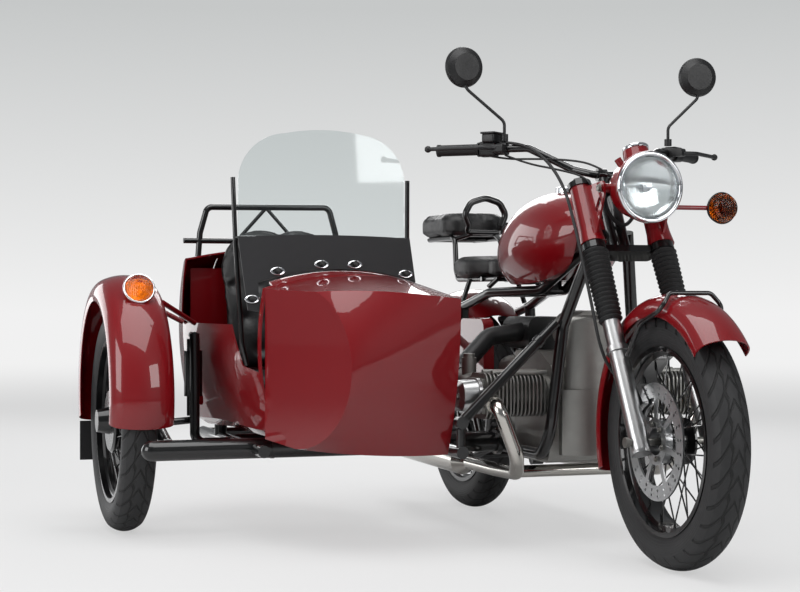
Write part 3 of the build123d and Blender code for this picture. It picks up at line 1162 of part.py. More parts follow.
# Trailing arm and stub axle of the sidecar wheel, and its spring unit
with BuildPart() as trailing_arm:
    arm_route = [(520, -1156, RAIL_Z - 6), (480, -1156, RAIL_Z - 2), (SIDECAR_LEAD + 20, -1156, TYRE_RADIUS)]
    add_bar(arm_route, 60, 38)
    add_disc((520, -1176, RAIL_Z - 6), (0, 1, 0), 50, 24)
    add_disc((SIDECAR_LEAD, -1170, TYRE_RADIUS), (0, 1, 0), 64, 30)
    add_disc((SIDECAR_LEAD, -1170, TYRE_RADIUS), (0, -1, 0), AXLE_DIAMETER, 90)
    add_bar([(330, -1156, 334), (330, -1030, 344)], 0, 22)
    add_disc((SIDECAR_LEAD, -1172, TYRE_RADIUS), (0, -1, 0), 170, 26)
keep(trailing_arm, "trailing_arm")

with BuildPart() as sidecar_shock:
    low, high = Vector(330, -1046, 356), Vector(330, -1046, SHOCK_TOP_Z - 11 - SEAT_GAP)
    add_disc(low, (0, 0, 1), 40, high.Z - low.Z)
    add_disc(low + Vector(0, 0, 60), (0, 0, 1), 56, 140)
keep(sidecar_shock, "sidecar_shock")

# Sidecar mudguard with its lamp and flap
FENDER_X, FENDER_Y, FENDER_Z = SIDECAR_LEAD, -1245, 419
FENDER_RADIUS = 370
with BuildPart() as sidecar_guard:
    add_guard(FENDER_X, FENDER_Y, FENDER_Z, FENDER_RADIUS, 93, 80, GUARD_SKIN, -13, 196)
    for angle in (64, 116):
        x = FENDER_X + (FENDER_RADIUS - 40) * cos(radians(angle))
        add_bar([(x, FENDER_Y + 91, FENDER_Z + 286), (x * 0.6 + 60, -1034, 640)], 0, 16)
keep(sidecar_guard, "sidecar_mudguard")

LAMP_CENTRE = Vector(462, -1238, 746)
LAMP_WAY = Vector(cos(radians(24)), 0, sin(radians(24)))
with BuildPart() as fender_lamp:
    with BuildSketch(Plane(origin=LAMP_CENTRE, z_dir=-LAMP_WAY)):
        Circle(46)
    extrude(amount=52, taper=8)
    with Locations((FENDER_X, FENDER_Y, FENDER_Z)):
        Cylinder(FENDER_RADIUS + SEAT_GAP, 400, rotation=(90, 0, 0), mode=Mode.SUBTRACT)
    with BuildSketch(Plane(origin=LAMP_CENTRE, z_dir=LAMP_WAY)):
        Circle(43)
    with BuildSketch(Plane(origin=LAMP_CENTRE + LAMP_WAY * 14, z_dir=LAMP_WAY)):
        Circle(36)
    with BuildSketch(Plane(origin=LAMP_CENTRE + LAMP_WAY * 22, z_dir=LAMP_WAY)):
        Circle(18)
    loft(ruled=True)
keep(fender_lamp, "sidecar_lamp")

with BuildPart() as flap:
    low_x = FENDER_X - FENDER_RADIUS * cos(radians(16)) + 4
    low_z = FENDER_Z - FENDER_RADIUS * sin(radians(16))
    add_block((low_x - 4, FENDER_Y - 84, low_z - 128), (low_x, FENDER_Y + 84, low_z - SEAT_GAP))
keep(flap, "mud_flap")

# Centre stand, folded up under the gearbox; it swings down about its pivot
with BuildPart() as stand:
    add_bar([STAND_PIVOT - Vector(0, STAND_HALF, 0), STAND_PIVOT + Vector(0, STAND_HALF, 0)], 0, 24)
    for side in (-1, 1):
        add_bar([STAND_PIVOT + Vector(0, side * 104, 0), STAND_PIVOT + Vector(-206, side * 128, -64)], 0, 24)
        add_disc(STAND_PIVOT + Vector(-206, side * 128 - 20, -64), (0, 1, 0), 36, 40)
    add_bar([STAND_PIVOT + Vector(-120, -112, -38), STAND_PIVOT + Vector(-120, 112, -38)], 0, 18)
keep(stand, "centre_stand")


# Everything moves so that the whole machine's plan box is centred over the zero point
boxes = [piece.bounding_box() for piece in pieces]
MIDDLE_X = (min(box.min.X for box in boxes) + max(box.max.X for box in boxes)) / 2
MIDDLE_Y = (min(box.min.Y for box in boxes) + max(box.max.Y for box in boxes)) / 2
FLOOR_Z = min(box.min.Z for box in boxes)

os.makedirs("parts", exist_ok=True)
for piece in pieces:
    placed = piece.moved(Location((-MIDDLE_X, -MIDDLE_Y, -FLOOR_Z)))
    placed.label = piece.label
    export_step(placed, f"parts/{piece.label}.step")
print(f"middle of the plan box {MIDDLE_X:.3f} {MIDDLE_Y:.3f} floor {FLOOR_Z:.3f}")
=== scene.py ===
from math import cos, pi, radians, sin

import bpy
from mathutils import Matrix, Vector


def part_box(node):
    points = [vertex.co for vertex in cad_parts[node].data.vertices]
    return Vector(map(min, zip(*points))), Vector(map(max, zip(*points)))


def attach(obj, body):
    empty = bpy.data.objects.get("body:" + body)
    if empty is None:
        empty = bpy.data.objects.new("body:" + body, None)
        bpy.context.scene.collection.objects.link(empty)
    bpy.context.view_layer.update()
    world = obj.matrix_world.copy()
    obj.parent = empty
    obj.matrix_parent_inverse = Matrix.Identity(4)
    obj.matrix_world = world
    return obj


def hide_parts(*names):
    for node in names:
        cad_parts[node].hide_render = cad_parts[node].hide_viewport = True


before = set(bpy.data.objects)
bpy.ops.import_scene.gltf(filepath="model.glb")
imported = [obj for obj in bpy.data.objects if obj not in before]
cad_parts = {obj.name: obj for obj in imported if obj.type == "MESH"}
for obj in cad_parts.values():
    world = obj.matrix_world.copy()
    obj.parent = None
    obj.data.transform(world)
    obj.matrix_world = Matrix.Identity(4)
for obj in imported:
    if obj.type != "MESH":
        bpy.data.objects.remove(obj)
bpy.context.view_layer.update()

bl_info = {
    "name": "Sidecar motorcycle",
    "version": (1, 0, 0),
    "blender": (4, 5, 0),
    "location": "3D View > Sidebar > Sidecar",
    "description": "Dresses the solid model of a sidecar motorcycle and sets up its studio",
    "category": "Object",
}

REAR_LOW, REAR_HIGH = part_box("rear_tyre")
AXLE_X = (REAR_LOW.x + REAR_HIGH.x) / 2
BIKE_Y = (REAR_LOW.y + REAR_HIGH.y) / 2

# Places in millimetres ahead of the rear axle, left of the bike's middle and above the ground
HEADLIGHT_FACE = (1359, 0, 1021)
SIDECAR_LAMP_FACE = (462, -1238, 746)
TURN_LAMP_FACE = (1318, 240, 969)
SEAT_BACK_FOOT = (198, -710, 485.6)
APRON_FOOT = (704, 0, 758.4)
RESERVOIR = (925, -292, 1181)
RESERVOIR_LID = (925, -292, 1196)

# Leans and turns in degrees
SEAT_BACK_LEAN = 12
APRON_LEAN = 18
SIDECAR_LAMP_LEAN = 24
RESERVOIR_TURN = -50

# The view of the photograph, fitted to the outlines of the three wheels: millimetres and degrees
CAMERA_PLACE = (5705.8, -2183.4, 724.2)
CAMERA_TURN = 71.394
CAMERA_LENS = 79.67
CAMERA_SENSOR = 36

# The headlight's radii and the cords' diameters, in metres
LENS_RADIUS = 0.0855
RIM_RADIUS = 0.0915
CABLE = 0.006
HOSE = 0.009
LOOM = 0.011

# Lights: name, place and aim in metres in the shared frame, size in metres, power in watts
LIGHTS = (
    ("soft_top", (1.0, -0.6, 4.2), (0.2, -0.2, 0.4), 3.6, 130),
    ("soft_front", (5.2, 2.6, 2.6), (0.3, 0.0, 0.5), 2.4, 90),
    ("soft_side", (1.4, -5.2, 2.2), (0.2, -0.4, 0.5), 3.0, 130),
    ("soft_back", (-4.0, 1.5, 2.8), (0.0, 0.0, 0.6), 2.6, 80),
    ("soft_low", (-5.4, -3.4, 1.2), (-0.3, -0.6, 0.6), 3.6, 90),
)

# Cords by name: diameter, and the points of the route in millimetres as above
CORDS = {
    "brake_hose": (HOSE, [(945, -268, 1168), (985, -225, 1165), (1060, -185, 1120), (1130, -158, 1040),
                          (1200, -156, 930), (1262, -154, 800), (1312, -152, 690), (1345, -146, 590),
                          (1352, -118, 520), (1378, -74, 468)]),
    "throttle_cable": (CABLE, [(912, -300, 1132), (945, -255, 1120), (1010, -200, 1118),
                               (1085, -120, 1112), (1150, -70, 1095), (1200, -40, 1060)]),
    "front_brake_cable": (CABLE, [(950, -262, 1132), (990, -215, 1106), (1070, -150, 1085),
                                  (1150, -95, 1060), (1188, -75, 1000), (1190, -66, 940)]),
    "clutch_cable": (CABLE, [(950, 262, 1132), (990, 215, 1106), (1070, 150, 1085),
                             (1150, 95, 1060), (1188, 75, 1000), (1190, 66, 940)]),
    "wiring": (LOOM, [(1196, -48, 1056), (1180, -58, 1010), (1178, -40, 950), (1190, 0, 915),
                      (1180, 40, 950), (1182, 56, 1010), (1196, 46, 1056)]),
}

# The apron's fasteners in millimetres: left of the bike's middle, and up the panel from its foot
FASTENERS = ((-874, 38), (-739, 60), (-636, 60), (-480, 31), (-957, -48))


def at(x, y, z):
    """A place in metres from millimetres ahead of the rear axle, left of the bike and above the ground."""
    return Vector((x / 1000 + AXLE_X, y / 1000 + BIKE_Y, z / 1000))


def linear(hex_colour):
    """An sRGB hex colour as linear red, green, blue and alpha."""
    parts = [int(hex_colour[i:i + 2], 16) / 255 for i in (1, 3, 5)]
    return [c / 12.92 if c <= 0.04045 else ((c + 0.055) / 1.055) ** 2.4 for c in parts] + [1.0]


def darker(hex_colour, share):
    """A hex colour as linear values, scaled down evenly."""
    return [c * share for c in linear(hex_colour)[:3]] + [1]


def add_node(tree, kind, inputs=None, links=None, **settings):
    """Add one shader node with its settings, its socket values and its links."""
    node = tree.nodes.new("ShaderNode" + kind)
    for key, value in settings.items():
        setattr(node, key, value)
    for socket, value in (inputs or {}).items():
        node.inputs[socket].default_value = value
    for socket, (source, output) in (links or {}).items():
        tree.links.new(source.outputs[output], node.inputs[socket])
    return node


def new_material(name):
    """An empty node material and its tree."""
    material = bpy.data.materials.new(name)
    material.use_nodes = True
    material.node_tree.nodes.clear()
    return material, material.node_tree


def close_material(material, tree, surface):
    """Join the surface to the output and show its colour in the viewport."""
    add_node(tree, "OutputMaterial", links={"Surface": (surface, "BSDF")})
    material.diffuse_color = surface.inputs["Base Color"].default_value[:]
    return material


def paint(name, colour, roughness, peel):
    """Sprayed enamel under clear lacquer: deep colour, sharp reflections, faint peel 3 mm across."""
    material, tree = new_material(name)
    place = add_node(tree, "TexCoord")
    tone = add_node(tree, "TexNoise", {"Scale": 3.0, "Detail": 2.0}, {"Vector": (place, "Object")})
    blend = add_node(tree, "MixRGB", {"Color1": linear(colour), "Color2": darker(colour, 0.92)},
                     {"Fac": (tone, "Fac")})
    skin = add_node(tree, "TexNoise", {"Scale": 330.0, "Detail": 1.0}, {"Vector": (place, "Object")})
    bump = add_node(tree, "Bump", {"Strength": peel, "Distance": 0.0004}, {"Height": (skin, "Fac")})
    surface = add_node(tree, "BsdfPrincipled",
                       {"Base Color": linear(colour), "Roughness": roughness, "Coat Weight": 1.0,
                        "Coat Roughness": 0.03, "Specular IOR Level": 0.2},
                       {"Base Color": (blend, "Color"), "Normal": (bump, "Normal")})
    return close_material(material, tree, surface)


def grained(name, colour, roughness, scale, depth, metallic=0.0, spread=0.12):
    """A moulded or cast skin: even colour, fine random grain whose scale is one over its size in metres."""
    material, tree = new_material(name)
    place = add_node(tree, "TexCoord")
    grain = add_node(tree, "TexNoise", {"Scale": scale, "Detail": 4.0, "Roughness": 0.6},
                     {"Vector": (place, "Object")})
    broad = add_node(tree, "TexNoise", {"Scale": 14.0, "Detail": 3.0}, {"Vector": (place, "Object")})
    wear = add_node(tree, "MapRange", {"To Min": roughness - spread, "To Max": roughness + spread},
                    {"Value": (broad, "Fac")})
    tone = add_node(tree, "MixRGB", {"Color1": linear(colour), "Color2": darker(colour, 0.72)},
                    {"Fac": (broad, "Fac")})
    bump = add_node(tree, "Bump", {"Strength": 0.6, "Distance": depth}, {"Height": (grain, "Fac")})
    surface = add_node(tree, "BsdfPrincipled",
                       {"Base Color": linear(colour), "Metallic": metallic, "Roughness": roughness},
                       {"Base Color": (tone, "Color"), "Roughness": (wear, "Result"),
                        "Normal": (bump, "Normal")})
    return close_material(material, tree, surface)


def cowhide(name):
    """Black cowhide over foam: pebbled grain of 3 mm, creases, a low sheen where it is rubbed."""
    material, tree = new_material(name)
    place = add_node(tree, "TexCoord")
    cells = add_node(tree, "TexVoronoi", {"Scale": 320.0}, {"Vector": (place, "Object")})
    crease = add_node(tree, "TexNoise", {"Scale": 26.0, "Detail": 5.0, "Distortion": 0.8},
                      {"Vector": (place, "Object")})
    both = add_node(tree, "Math", {}, {0: (cells, "Distance"), 1: (crease, "Fac")}, operation="ADD")
    bump = add_node(tree, "Bump", {"Strength": 0.5, "Distance": 0.0012}, {"Height": (both, "Value")})
    rub = add_node(tree, "MapRange", {"To Min": 0.30, "To Max": 0.52}, {"Value": (crease, "Fac")})
    surface = add_node(tree, "BsdfPrincipled", {"Base Color": linear("#141415"), "Specular IOR Level": 0.5},
                       {"Roughness": (rub, "Result"), "Normal": (bump, "Normal")})
    return close_material(material, tree, surface)


def canvas(name):
    """Black proofed canvas: plain weave drawn at 1.6 mm so that it shows, matt, with a soft nap."""
    material, tree = new_material(name)
    place = add_node(tree, "TexCoord")
    across = add_node(tree, "TexWave", {"Scale": 98.0, "Distortion": 0.3}, {"Vector": (place, "Object")},
                      wave_type="BANDS", bands_direction="Y")
    along = add_node(tree, "TexWave", {"Scale": 98.0, "Distortion": 0.3}, {"Vector": (place, "Object")},
                     wave_type="BANDS", bands_direction="Z")
    weave = add_node(tree, "Math", {}, {0: (across, "Fac"), 1: (along, "Fac")}, operation="MULTIPLY")
    tone = add_node(tree, "MixRGB", {"Color1": linear("#0E0E10"), "Color2": linear("#26262A")},
                    {"Fac": (weave, "Value")})
    bump = add_node(tree, "Bump", {"Strength": 0.7, "Distance": 0.0005}, {"Height": (weave, "Value")})
    surface = add_node(tree, "BsdfPrincipled",
                       {"Base Color": linear("#17171A"), "Roughness": 0.85, "Sheen Weight": 0.25,
                        "Sheen Roughness": 0.5},
                       {"Base Color": (tone, "Color"), "Normal": (bump, "Normal")})
    return close_material(material, tree, surface)


def ground_steel(name, centre):
    """Ground stainless steel of a brake disc: fine rings about the axle, worn bright."""
    material, tree = new_material(name)
    place = add_node(tree, "TexCoord")
    turn = add_node(tree, "Mapping", {"Location": [-c for c in centre]}, {"Vector": (place, "Object")})
    rings = add_node(tree, "TexWave", {"Scale": 130.0, "Distortion": 0.6, "Detail": 2.0},
                     {"Vector": (turn, "Vector")},
                     wave_type="RINGS", rings_direction="Y")
    bump = add_node(tree, "Bump", {"Strength": 0.25, "Distance": 0.0003}, {"Height": (rings, "Fac")})
    surface = add_node(tree, "BsdfPrincipled",
                       {"Base Color": linear("#B9BABB"), "Metallic": 1.0, "Roughness": 0.28,
                        "Anisotropic": 0.4},
                       {"Normal": (bump, "Normal")})
    return close_material(material, tree, surface)


def tyre_rubber(name, centre):
    """Vulcanised road tyre: matt carbon black, moulded blocks in the tread with painted shade in their
    grooves, fine rings on the walls.
    """
    material, tree = new_material(name)
    place = add_node(tree, "TexCoord")
    turn = add_node(tree, "Mapping", {"Location": [-c for c in centre]}, {"Vector": (place, "Object")})
    split = add_node(tree, "SeparateXYZ", {}, {"Vector": (turn, "Vector")})
    angle = add_node(tree, "Math", {}, {0: (split, "Z"), 1: (split, "X")}, operation="ARCTAN2")
    flat = add_node(tree, "CombineXYZ", {}, {"X": (split, "X"), "Y": (split, "Z")})
    radius = add_node(tree, "VectorMath", {}, {0: (flat, "Vector")}, operation="LENGTH")
    # Slanted cross cuts: 66 a turn, leaning with the distance from the crown, so they meet in arrows
    lean = add_node(tree, "Math", {}, {0: (split, "Y")}, operation="ABSOLUTE")
    leaned = add_node(tree, "Math", {1: 6.0}, {0: (lean, "Value")}, operation="MULTIPLY")
    swept = add_node(tree, "Math", {}, {0: (angle, "Value"), 1: (leaned, "Value")}, operation="ADD")
    count = add_node(tree, "Math", {1: 66 / (2 * pi)}, {0: (swept, "Value")}, operation="MULTIPLY")
    saw = add_node(tree, "Math", {1: 1.0}, {0: (count, "Value")}, operation="PINGPONG")
    cut = add_node(tree, "MapRange", {"From Min": 0.10, "From Max": 0.24, "To Min": 0.0, "To Max": 1.0},
                   {"Value": (saw, "Value")})
    # Two zigzag grooves along the tyre, 17 mm each side of the crown, and a thin one in the middle
    wag = add_node(tree, "Math", {1: 0.006}, {0: (saw, "Value")}, operation="MULTIPLY")
    aside = add_node(tree, "Math", {}, {0: (lean, "Value"), 1: (wag, "Value")}, operation="ADD")
    off = add_node(tree, "Math", {1: 0.021}, {0: (aside, "Value")}, operation="SUBTRACT")
    size = add_node(tree, "Math", {}, {0: (off, "Value")}, operation="ABSOLUTE")
    groove = add_node(tree, "MapRange",
                      {"From Min": 0.0018, "From Max": 0.0032, "To Min": 0.0, "To Max": 1.0},
                      {"Value": (size, "Value")})
    blocks = add_node(tree, "Math", {}, {0: (cut, "Result"), 1: (groove, "Result")}, operation="MINIMUM")
    # The walls below the shoulder are smooth, with thin moulded rings
    crown = add_node(tree, "MapRange", {"From Min": 0.302, "From Max": 0.307, "To Min": 0.0, "To Max": 1.0},
                     {"Value": (radius, "Value")})
    outside = add_node(tree, "Math", {0: 1.0}, {1: (crown, "Result")}, operation="SUBTRACT")
    tread = add_node(tree, "Math", {}, {0: (blocks, "Value"), 1: (outside, "Value")}, operation="MAXIMUM")
    ring = add_node(tree, "Math", {1: 900.0}, {0: (radius, "Value")}, operation="MULTIPLY")
    wave = add_node(tree, "Math", {}, {0: (ring, "Value")}, operation="SINE")
    fine = add_node(tree, "Math", {1: 0.03}, {0: (wave, "Value")}, operation="MULTIPLY")
    wall = add_node(tree, "Math", {}, {0: (fine, "Value"), 1: (outside, "Value")}, operation="MULTIPLY")
    height = add_node(tree, "Math", {}, {0: (tread, "Value"), 1: (wall, "Value")}, operation="ADD")
    bump = add_node(tree, "Bump", {"Strength": 1.0, "Distance": 0.006}, {"Height": (height, "Value")})
    dust = add_node(tree, "TexNoise", {"Scale": 60.0, "Detail": 4.0}, {"Vector": (place, "Object")})
    tone = add_node(tree, "MixRGB", {"Color1": linear("#1B1B1C"), "Color2": linear("#29292A")},
                    {"Fac": (dust, "Fac")})
    # Painted shade: the grooves and cross cuts are coloured near black, and the block tops and walls keep the
    # dusty rubber tone
    deep = add_node(tree, "MixRGB", {"Color1": linear("#050505")},
                    {"Fac": (tread, "Value"), "Color2": (tone, "Color")})
    surface = add_node(tree, "BsdfPrincipled", {"Base Color": linear("#1F1F20"), "Roughness": 0.62},
                       {"Base Color": (deep, "Color"), "Normal": (bump, "Normal")})
    return close_material(material, tree, surface)


def bright_metal(name, colour, roughness):
    """Plated or polished metal: near-white reflections with fine hazy streaks."""
    material, tree = new_material(name)
    place = add_node(tree, "TexCoord")
    haze = add_node(tree, "TexNoise", {"Scale": 40.0, "Detail": 5.0}, {"Vector": (place, "Object")})
    wear = add_node(tree, "MapRange", {"To Min": roughness * 0.7, "To Max": roughness * 1.5},
                    {"Value": (haze, "Fac")})
    surface = add_node(tree, "BsdfPrincipled", {"Base Color": linear(colour), "Metallic": 1.0},
                       {"Roughness": (wear, "Result")})
    return close_material(material, tree, surface)


def clear_plastic(name, colour, roughness, ior, ribs=0.0):
    """Clear or dyed moulding: transmits, with fine ribs inside a lamp lens."""
    material, tree = new_material(name)
    place = add_node(tree, "TexCoord")
    lines = add_node(tree, "TexWave", {"Scale": 60.0}, {"Vector": (place, "Object")}, bands_direction="Y")
    bump = add_node(tree, "Bump", {"Strength": ribs, "Distance": 0.001}, {"Height": (lines, "Fac")})
    surface = add_node(tree, "BsdfPrincipled",
                       {"Base Color": linear(colour), "Roughness": roughness, "IOR": ior,
                        "Transmission Weight": 1.0},
                       {"Normal": (bump, "Normal")})
    return close_material(material, tree, surface)


def thin_sheet(name, colour, edge):
    """Clear sheet: shows what is behind it unbent, mirrors at a flat angle, pale where seen edge on."""
    material, tree = new_material(name)
    weight = add_node(tree, "LayerWeight", {"Blend": 0.30})
    clear = add_node(tree, "BsdfTransparent", {"Color": linear(colour)})
    shine = add_node(tree, "BsdfGlossy", {"Color": linear(edge), "Roughness": 0.03})
    part = add_node(tree, "MapRange", {"To Min": 0.03, "To Max": 0.40}, {"Value": (weight, "Facing")})
    mixed = add_node(tree, "MixShader", {}, {0: (part, "Result"), 1: (clear, "BSDF"), 2: (shine, "BSDF")})
    add_node(tree, "OutputMaterial", links={"Surface": (mixed, "Shader")})
    return material


MATERIALS = {}


def make_materials(red, black):
    """All finishes of the machine, by name."""
    MATERIALS.update({
        "red": paint("lacquered_red_enamel", red, 0.42, 0.06),
        "black": paint("gloss_black_enamel", black, 0.30, 0.12),
        "plastic": grained("moulded_black_abs", "#161617", 0.46, 900.0, 0.0002),
        "rubber": grained("moulded_black_rubber", "#151516", 0.60, 500.0, 0.0003),
        "cast": grained("sand_cast_aluminium", "#A7A6A2", 0.46, 700.0, 0.0004, 1.0),
        "alloy": grained("turned_aluminium", "#C4C4C4", 0.30, 300.0, 0.0001, 1.0, 0.06),
        "zinc": grained("zinc_plated_steel", "#9C9B96", 0.38, 400.0, 0.0001, 1.0, 0.08),
        "chrome": bright_metal("chromium_plate", "#E4E5E8", 0.06),
        "pipe": bright_metal("polished_stainless_steel", "#C9C6C0", 0.14),
        "leather": cowhide("black_cowhide"),
        "canvas": canvas("black_canvas"),
        "glass": clear_plastic("pressed_lamp_glass", "#F4F7F8", 0.02, 1.45, 0.5),
        "amber": clear_plastic("amber_acrylic", "#FF7A10", 0.16, 1.45, 0.8),
        "ruby": clear_plastic("ruby_acrylic", "#C01010", 0.16, 1.45, 0.8),
        "screen": thin_sheet("clear_polycarbonate", "#F4F7F7", "#F4F6F6"),
        "mirror": bright_metal("silvered_glass", "#F0F2F2", 0.02),
    })


FINISH = {
    "red": ("fork_covers", "headlight_shell", "front_mudguard", "fuel_tank", "rear_mudguard", "side_boxes",
            "sidecar_tub", "boot_lid", "sidecar_mudguard"),
    "black": ("front_rim", "rear_rim", "sidecar_rim", "fork_clamps", "handlebar", "mudguard_stay",
              "bike_frame", "seat_carrier", "swing_arm", "rear_shocks", "luggage_rack", "sidecar_frame",
              "sidecar_struts", "trailing_arm", "sidecar_shock", "centre_stand", "screen_posts",
              "plate_bracket"),
    "plastic": ("bar_controls", "mirrors", "air_cleaner"),
    "rubber": ("fork_gaiters", "handlebar_grips", "footrests", "mud_flap"),
    "cast": ("crankcase", "engine_front_cover", "cylinders", "carburettors"),
    "alloy": ("fork_legs", "rocker_covers", "brake_calliper"),
    "zinc": ("front_axle",),
    "pipe": ("exhausts",),
    "leather": ("rider_saddle", "pillion_seat", "sidecar_cushion", "sidecar_seat_back"),
    "canvas": ("apron",),
    "glass": ("headlight_lens",),
    "amber": ("front_indicator", "sidecar_lamp"),
    "ruby": ("tail_lamp",),
    "screen": ("windscreen",),
}


def clear_selection():
    """Leave edit mode and select nothing."""
    if bpy.context.object and bpy.context.object.mode != "OBJECT":
        bpy.ops.object.mode_set(mode="OBJECT")
    bpy.ops.object.select_all(action="DESELECT")


def seat_piece(piece, name, body, material):
    """Name a finished piece, put its place in its mesh, give it its finish and the body that it rides on."""
    clear_selection()
    piece.select_set(True)
    bpy.context.view_layer.objects.active = piece
    bpy.ops.object.transform_apply(location=True, rotation=True, scale=True)
    piece.name = name
    piece.data.name = name
    piece.data.materials.clear()
    piece.data.materials.append(MATERIALS[material])
    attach(piece, body)
    return piece


def apply_modifiers(piece):
    """Apply every modifier of a piece, in order."""
    clear_selection()
    piece.select_set(True)
    bpy.context.view_layer.objects.active = piece
    for modifier in list(piece.modifiers):
        bpy.ops.object.modifier_apply(modifier=modifier.name)


def copy_node(node):
    """A merged copy of a CAD node's mesh as a new object."""
    clear_selection()
    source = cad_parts[node]
    piece = bpy.data.objects.new("copy", source.data.copy())
    bpy.context.scene.collection.objects.link(piece)
    piece.select_set(True)
    bpy.context.view_layer.objects.active = piece
    bpy.ops.object.mode_set(mode="EDIT")
    bpy.ops.mesh.select_all(action="SELECT")
    bpy.ops.mesh.remove_doubles(threshold=0.00005)
    bpy.ops.object.mode_set(mode="OBJECT")
    return piece


def pad_from(node, name, shrink, cap, pressure, pins):
    """A stuffed cushion from its solid: remeshed, swollen under pressure, held back at its buttons."""
    piece = copy_node(node)
    low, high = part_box(node)
    middle = (low + high) / 2
    half = [max(0.001, (high[i] - low[i]) / 2) for i in range(3)]
    for vertex in piece.data.vertices:
        offset = vertex.co - middle
        vertex.co = middle + Vector([o * (1 - shrink / half[i]) for i, o in enumerate(offset)])
    remesh = piece.modifiers.new("even", "REMESH")
    remesh.mode = "VOXEL"
    remesh.voxel_size = 0.006
    apply_modifiers(piece)
    start = [vertex.co.copy() for vertex in piece.data.vertices]
    held = piece.vertex_groups.new(name="buttons")
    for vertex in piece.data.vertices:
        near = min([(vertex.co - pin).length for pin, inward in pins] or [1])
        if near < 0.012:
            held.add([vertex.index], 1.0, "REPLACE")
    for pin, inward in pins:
        for vertex in piece.data.vertices:
            gap = (vertex.co - pin).length
            if gap < 0.045:
                vertex.co += inward * (1 - gap / 0.045) ** 2
    cloth = piece.modifiers.new("stuffing", "CLOTH")
    cloth.settings.use_pressure = True
    cloth.settings.uniform_pressure_force = pressure
    cloth.settings.effector_weights.gravity = 0
    cloth.settings.vertex_group_mass = "buttons"
    cloth.settings.tension_stiffness = 12
    cloth.settings.quality = 5
    for step in range(1, 21):
        bpy.context.scene.frame_set(step)
    apply_modifiers(piece)
    bpy.context.scene.frame_set(1)
    for vertex, before in zip(piece.data.vertices, start):
        moved = vertex.co - before
        if moved.length > cap:
            vertex.co = before + moved.normalized() * cap
    smooth = piece.modifiers.new("soften", "SUBSURF")
    smooth.levels = smooth.render_levels = 1
    apply_modifiers(piece)
    bpy.ops.object.shade_smooth()
    seat_piece(piece, name, "chassis", "leather")
    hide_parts(node)
    return piece


def facing(way):
    """The rotation that turns local Z to a direction."""
    return Vector(way).to_track_quat("Z", "Y").to_euler()


def bevelled(piece, width, segments=3):
    """Round a piece's edges and apply that."""
    bevel = piece.modifiers.new("edges", "BEVEL")
    bevel.width = width
    bevel.segments = segments
    bevel.limit_method = "ANGLE"
    apply_modifiers(piece)
    bpy.ops.object.shade_smooth_by_angle(angle=radians(40))
    return piece


def add_ring(centre, way, major, minor, squeeze=1.0):
    """A ring: a torus squeezed along its axis, with a flat seat turned on its back."""
    clear_selection()
    bpy.ops.mesh.primitive_torus_add(major_segments=96, minor_segments=20, major_radius=major,
                                     minor_radius=minor, location=centre, rotation=facing(way))
    piece = bpy.context.object
    piece.scale.z = squeeze
    bpy.ops.object.transform_apply(location=False, rotation=False, scale=True)
    bpy.ops.object.mode_set(mode="EDIT")
    bpy.ops.mesh.select_all(action="SELECT")
    bpy.ops.mesh.bisect(plane_co=centre - Vector(way).normalized() * minor * squeeze * 0.7, plane_no=way,
                        use_fill=True, clear_inner=True)
    bpy.ops.object.mode_set(mode="OBJECT")
    bpy.ops.object.shade_smooth_by_angle(angle=radians(40))
    return piece


def add_cap(centre, way, radius, depth, lip, sink, sides=64):
    """A round cap: a short cylinder with its top face inset and pushed in or out."""
    clear_selection()
    bpy.ops.mesh.primitive_cylinder_add(vertices=sides, radius=radius, depth=depth, location=centre)
    piece = bpy.context.object
    for face in piece.data.polygons:
        face.select = face.normal.z > 0.9
    for edge in piece.data.edges:
        edge.select = False
    for vertex in piece.data.vertices:
        vertex.select = vertex.co.z > 0
    bpy.ops.object.mode_set(mode="EDIT")
    bpy.ops.mesh.select_mode(type="FACE")
    bpy.ops.mesh.inset(thickness=lip)
    bpy.ops.mesh.extrude_region_move(TRANSFORM_OT_translate={"value": (0, 0, sink)})
    bpy.ops.object.mode_set(mode="OBJECT")
    piece.rotation_euler = facing(way)
    return bevelled(piece, min(depth, radius) * 0.12)


def add_bolts(name, places, size, body, material):
    """Hexagon bolts with washers: one is modelled, the rest are copies, joined as one piece."""
    made = []
    first = None
    for place, way in places:
        if first is None:
            head = add_cap(Vector((0, 0, size * 0.45)), (0, 0, 1), size, size * 0.7, size * 0.28,
                           -size * 0.06, 6)
            washer = add_cap(Vector((0, 0, size * 0.05)), (0, 0, 1), size * 1.35, size * 0.22,
                             size * 0.2, 0.0, 24)
            clear_selection()
            washer.select_set(True)
            head.select_set(True)
            bpy.context.view_layer.objects.active = head
            bpy.ops.object.transform_apply(location=True, rotation=True, scale=True)
            bpy.ops.object.join()
            first = head
            bolt = head
        else:
            bolt = bpy.data.objects.new(name, first.data.copy())
            bpy.context.scene.collection.objects.link(bolt)
        bolt.location = place
        bolt.rotation_euler = facing(way)
        made.append(bolt)
    clear_selection()
    for bolt in made:
        bolt.select_set(True)
    bpy.context.view_layer.objects.active = made[0]
    bpy.ops.object.transform_apply(location=True, rotation=True, scale=True)
    bpy.ops.object.join()
    return seat_piece(made[0], name, body, material)


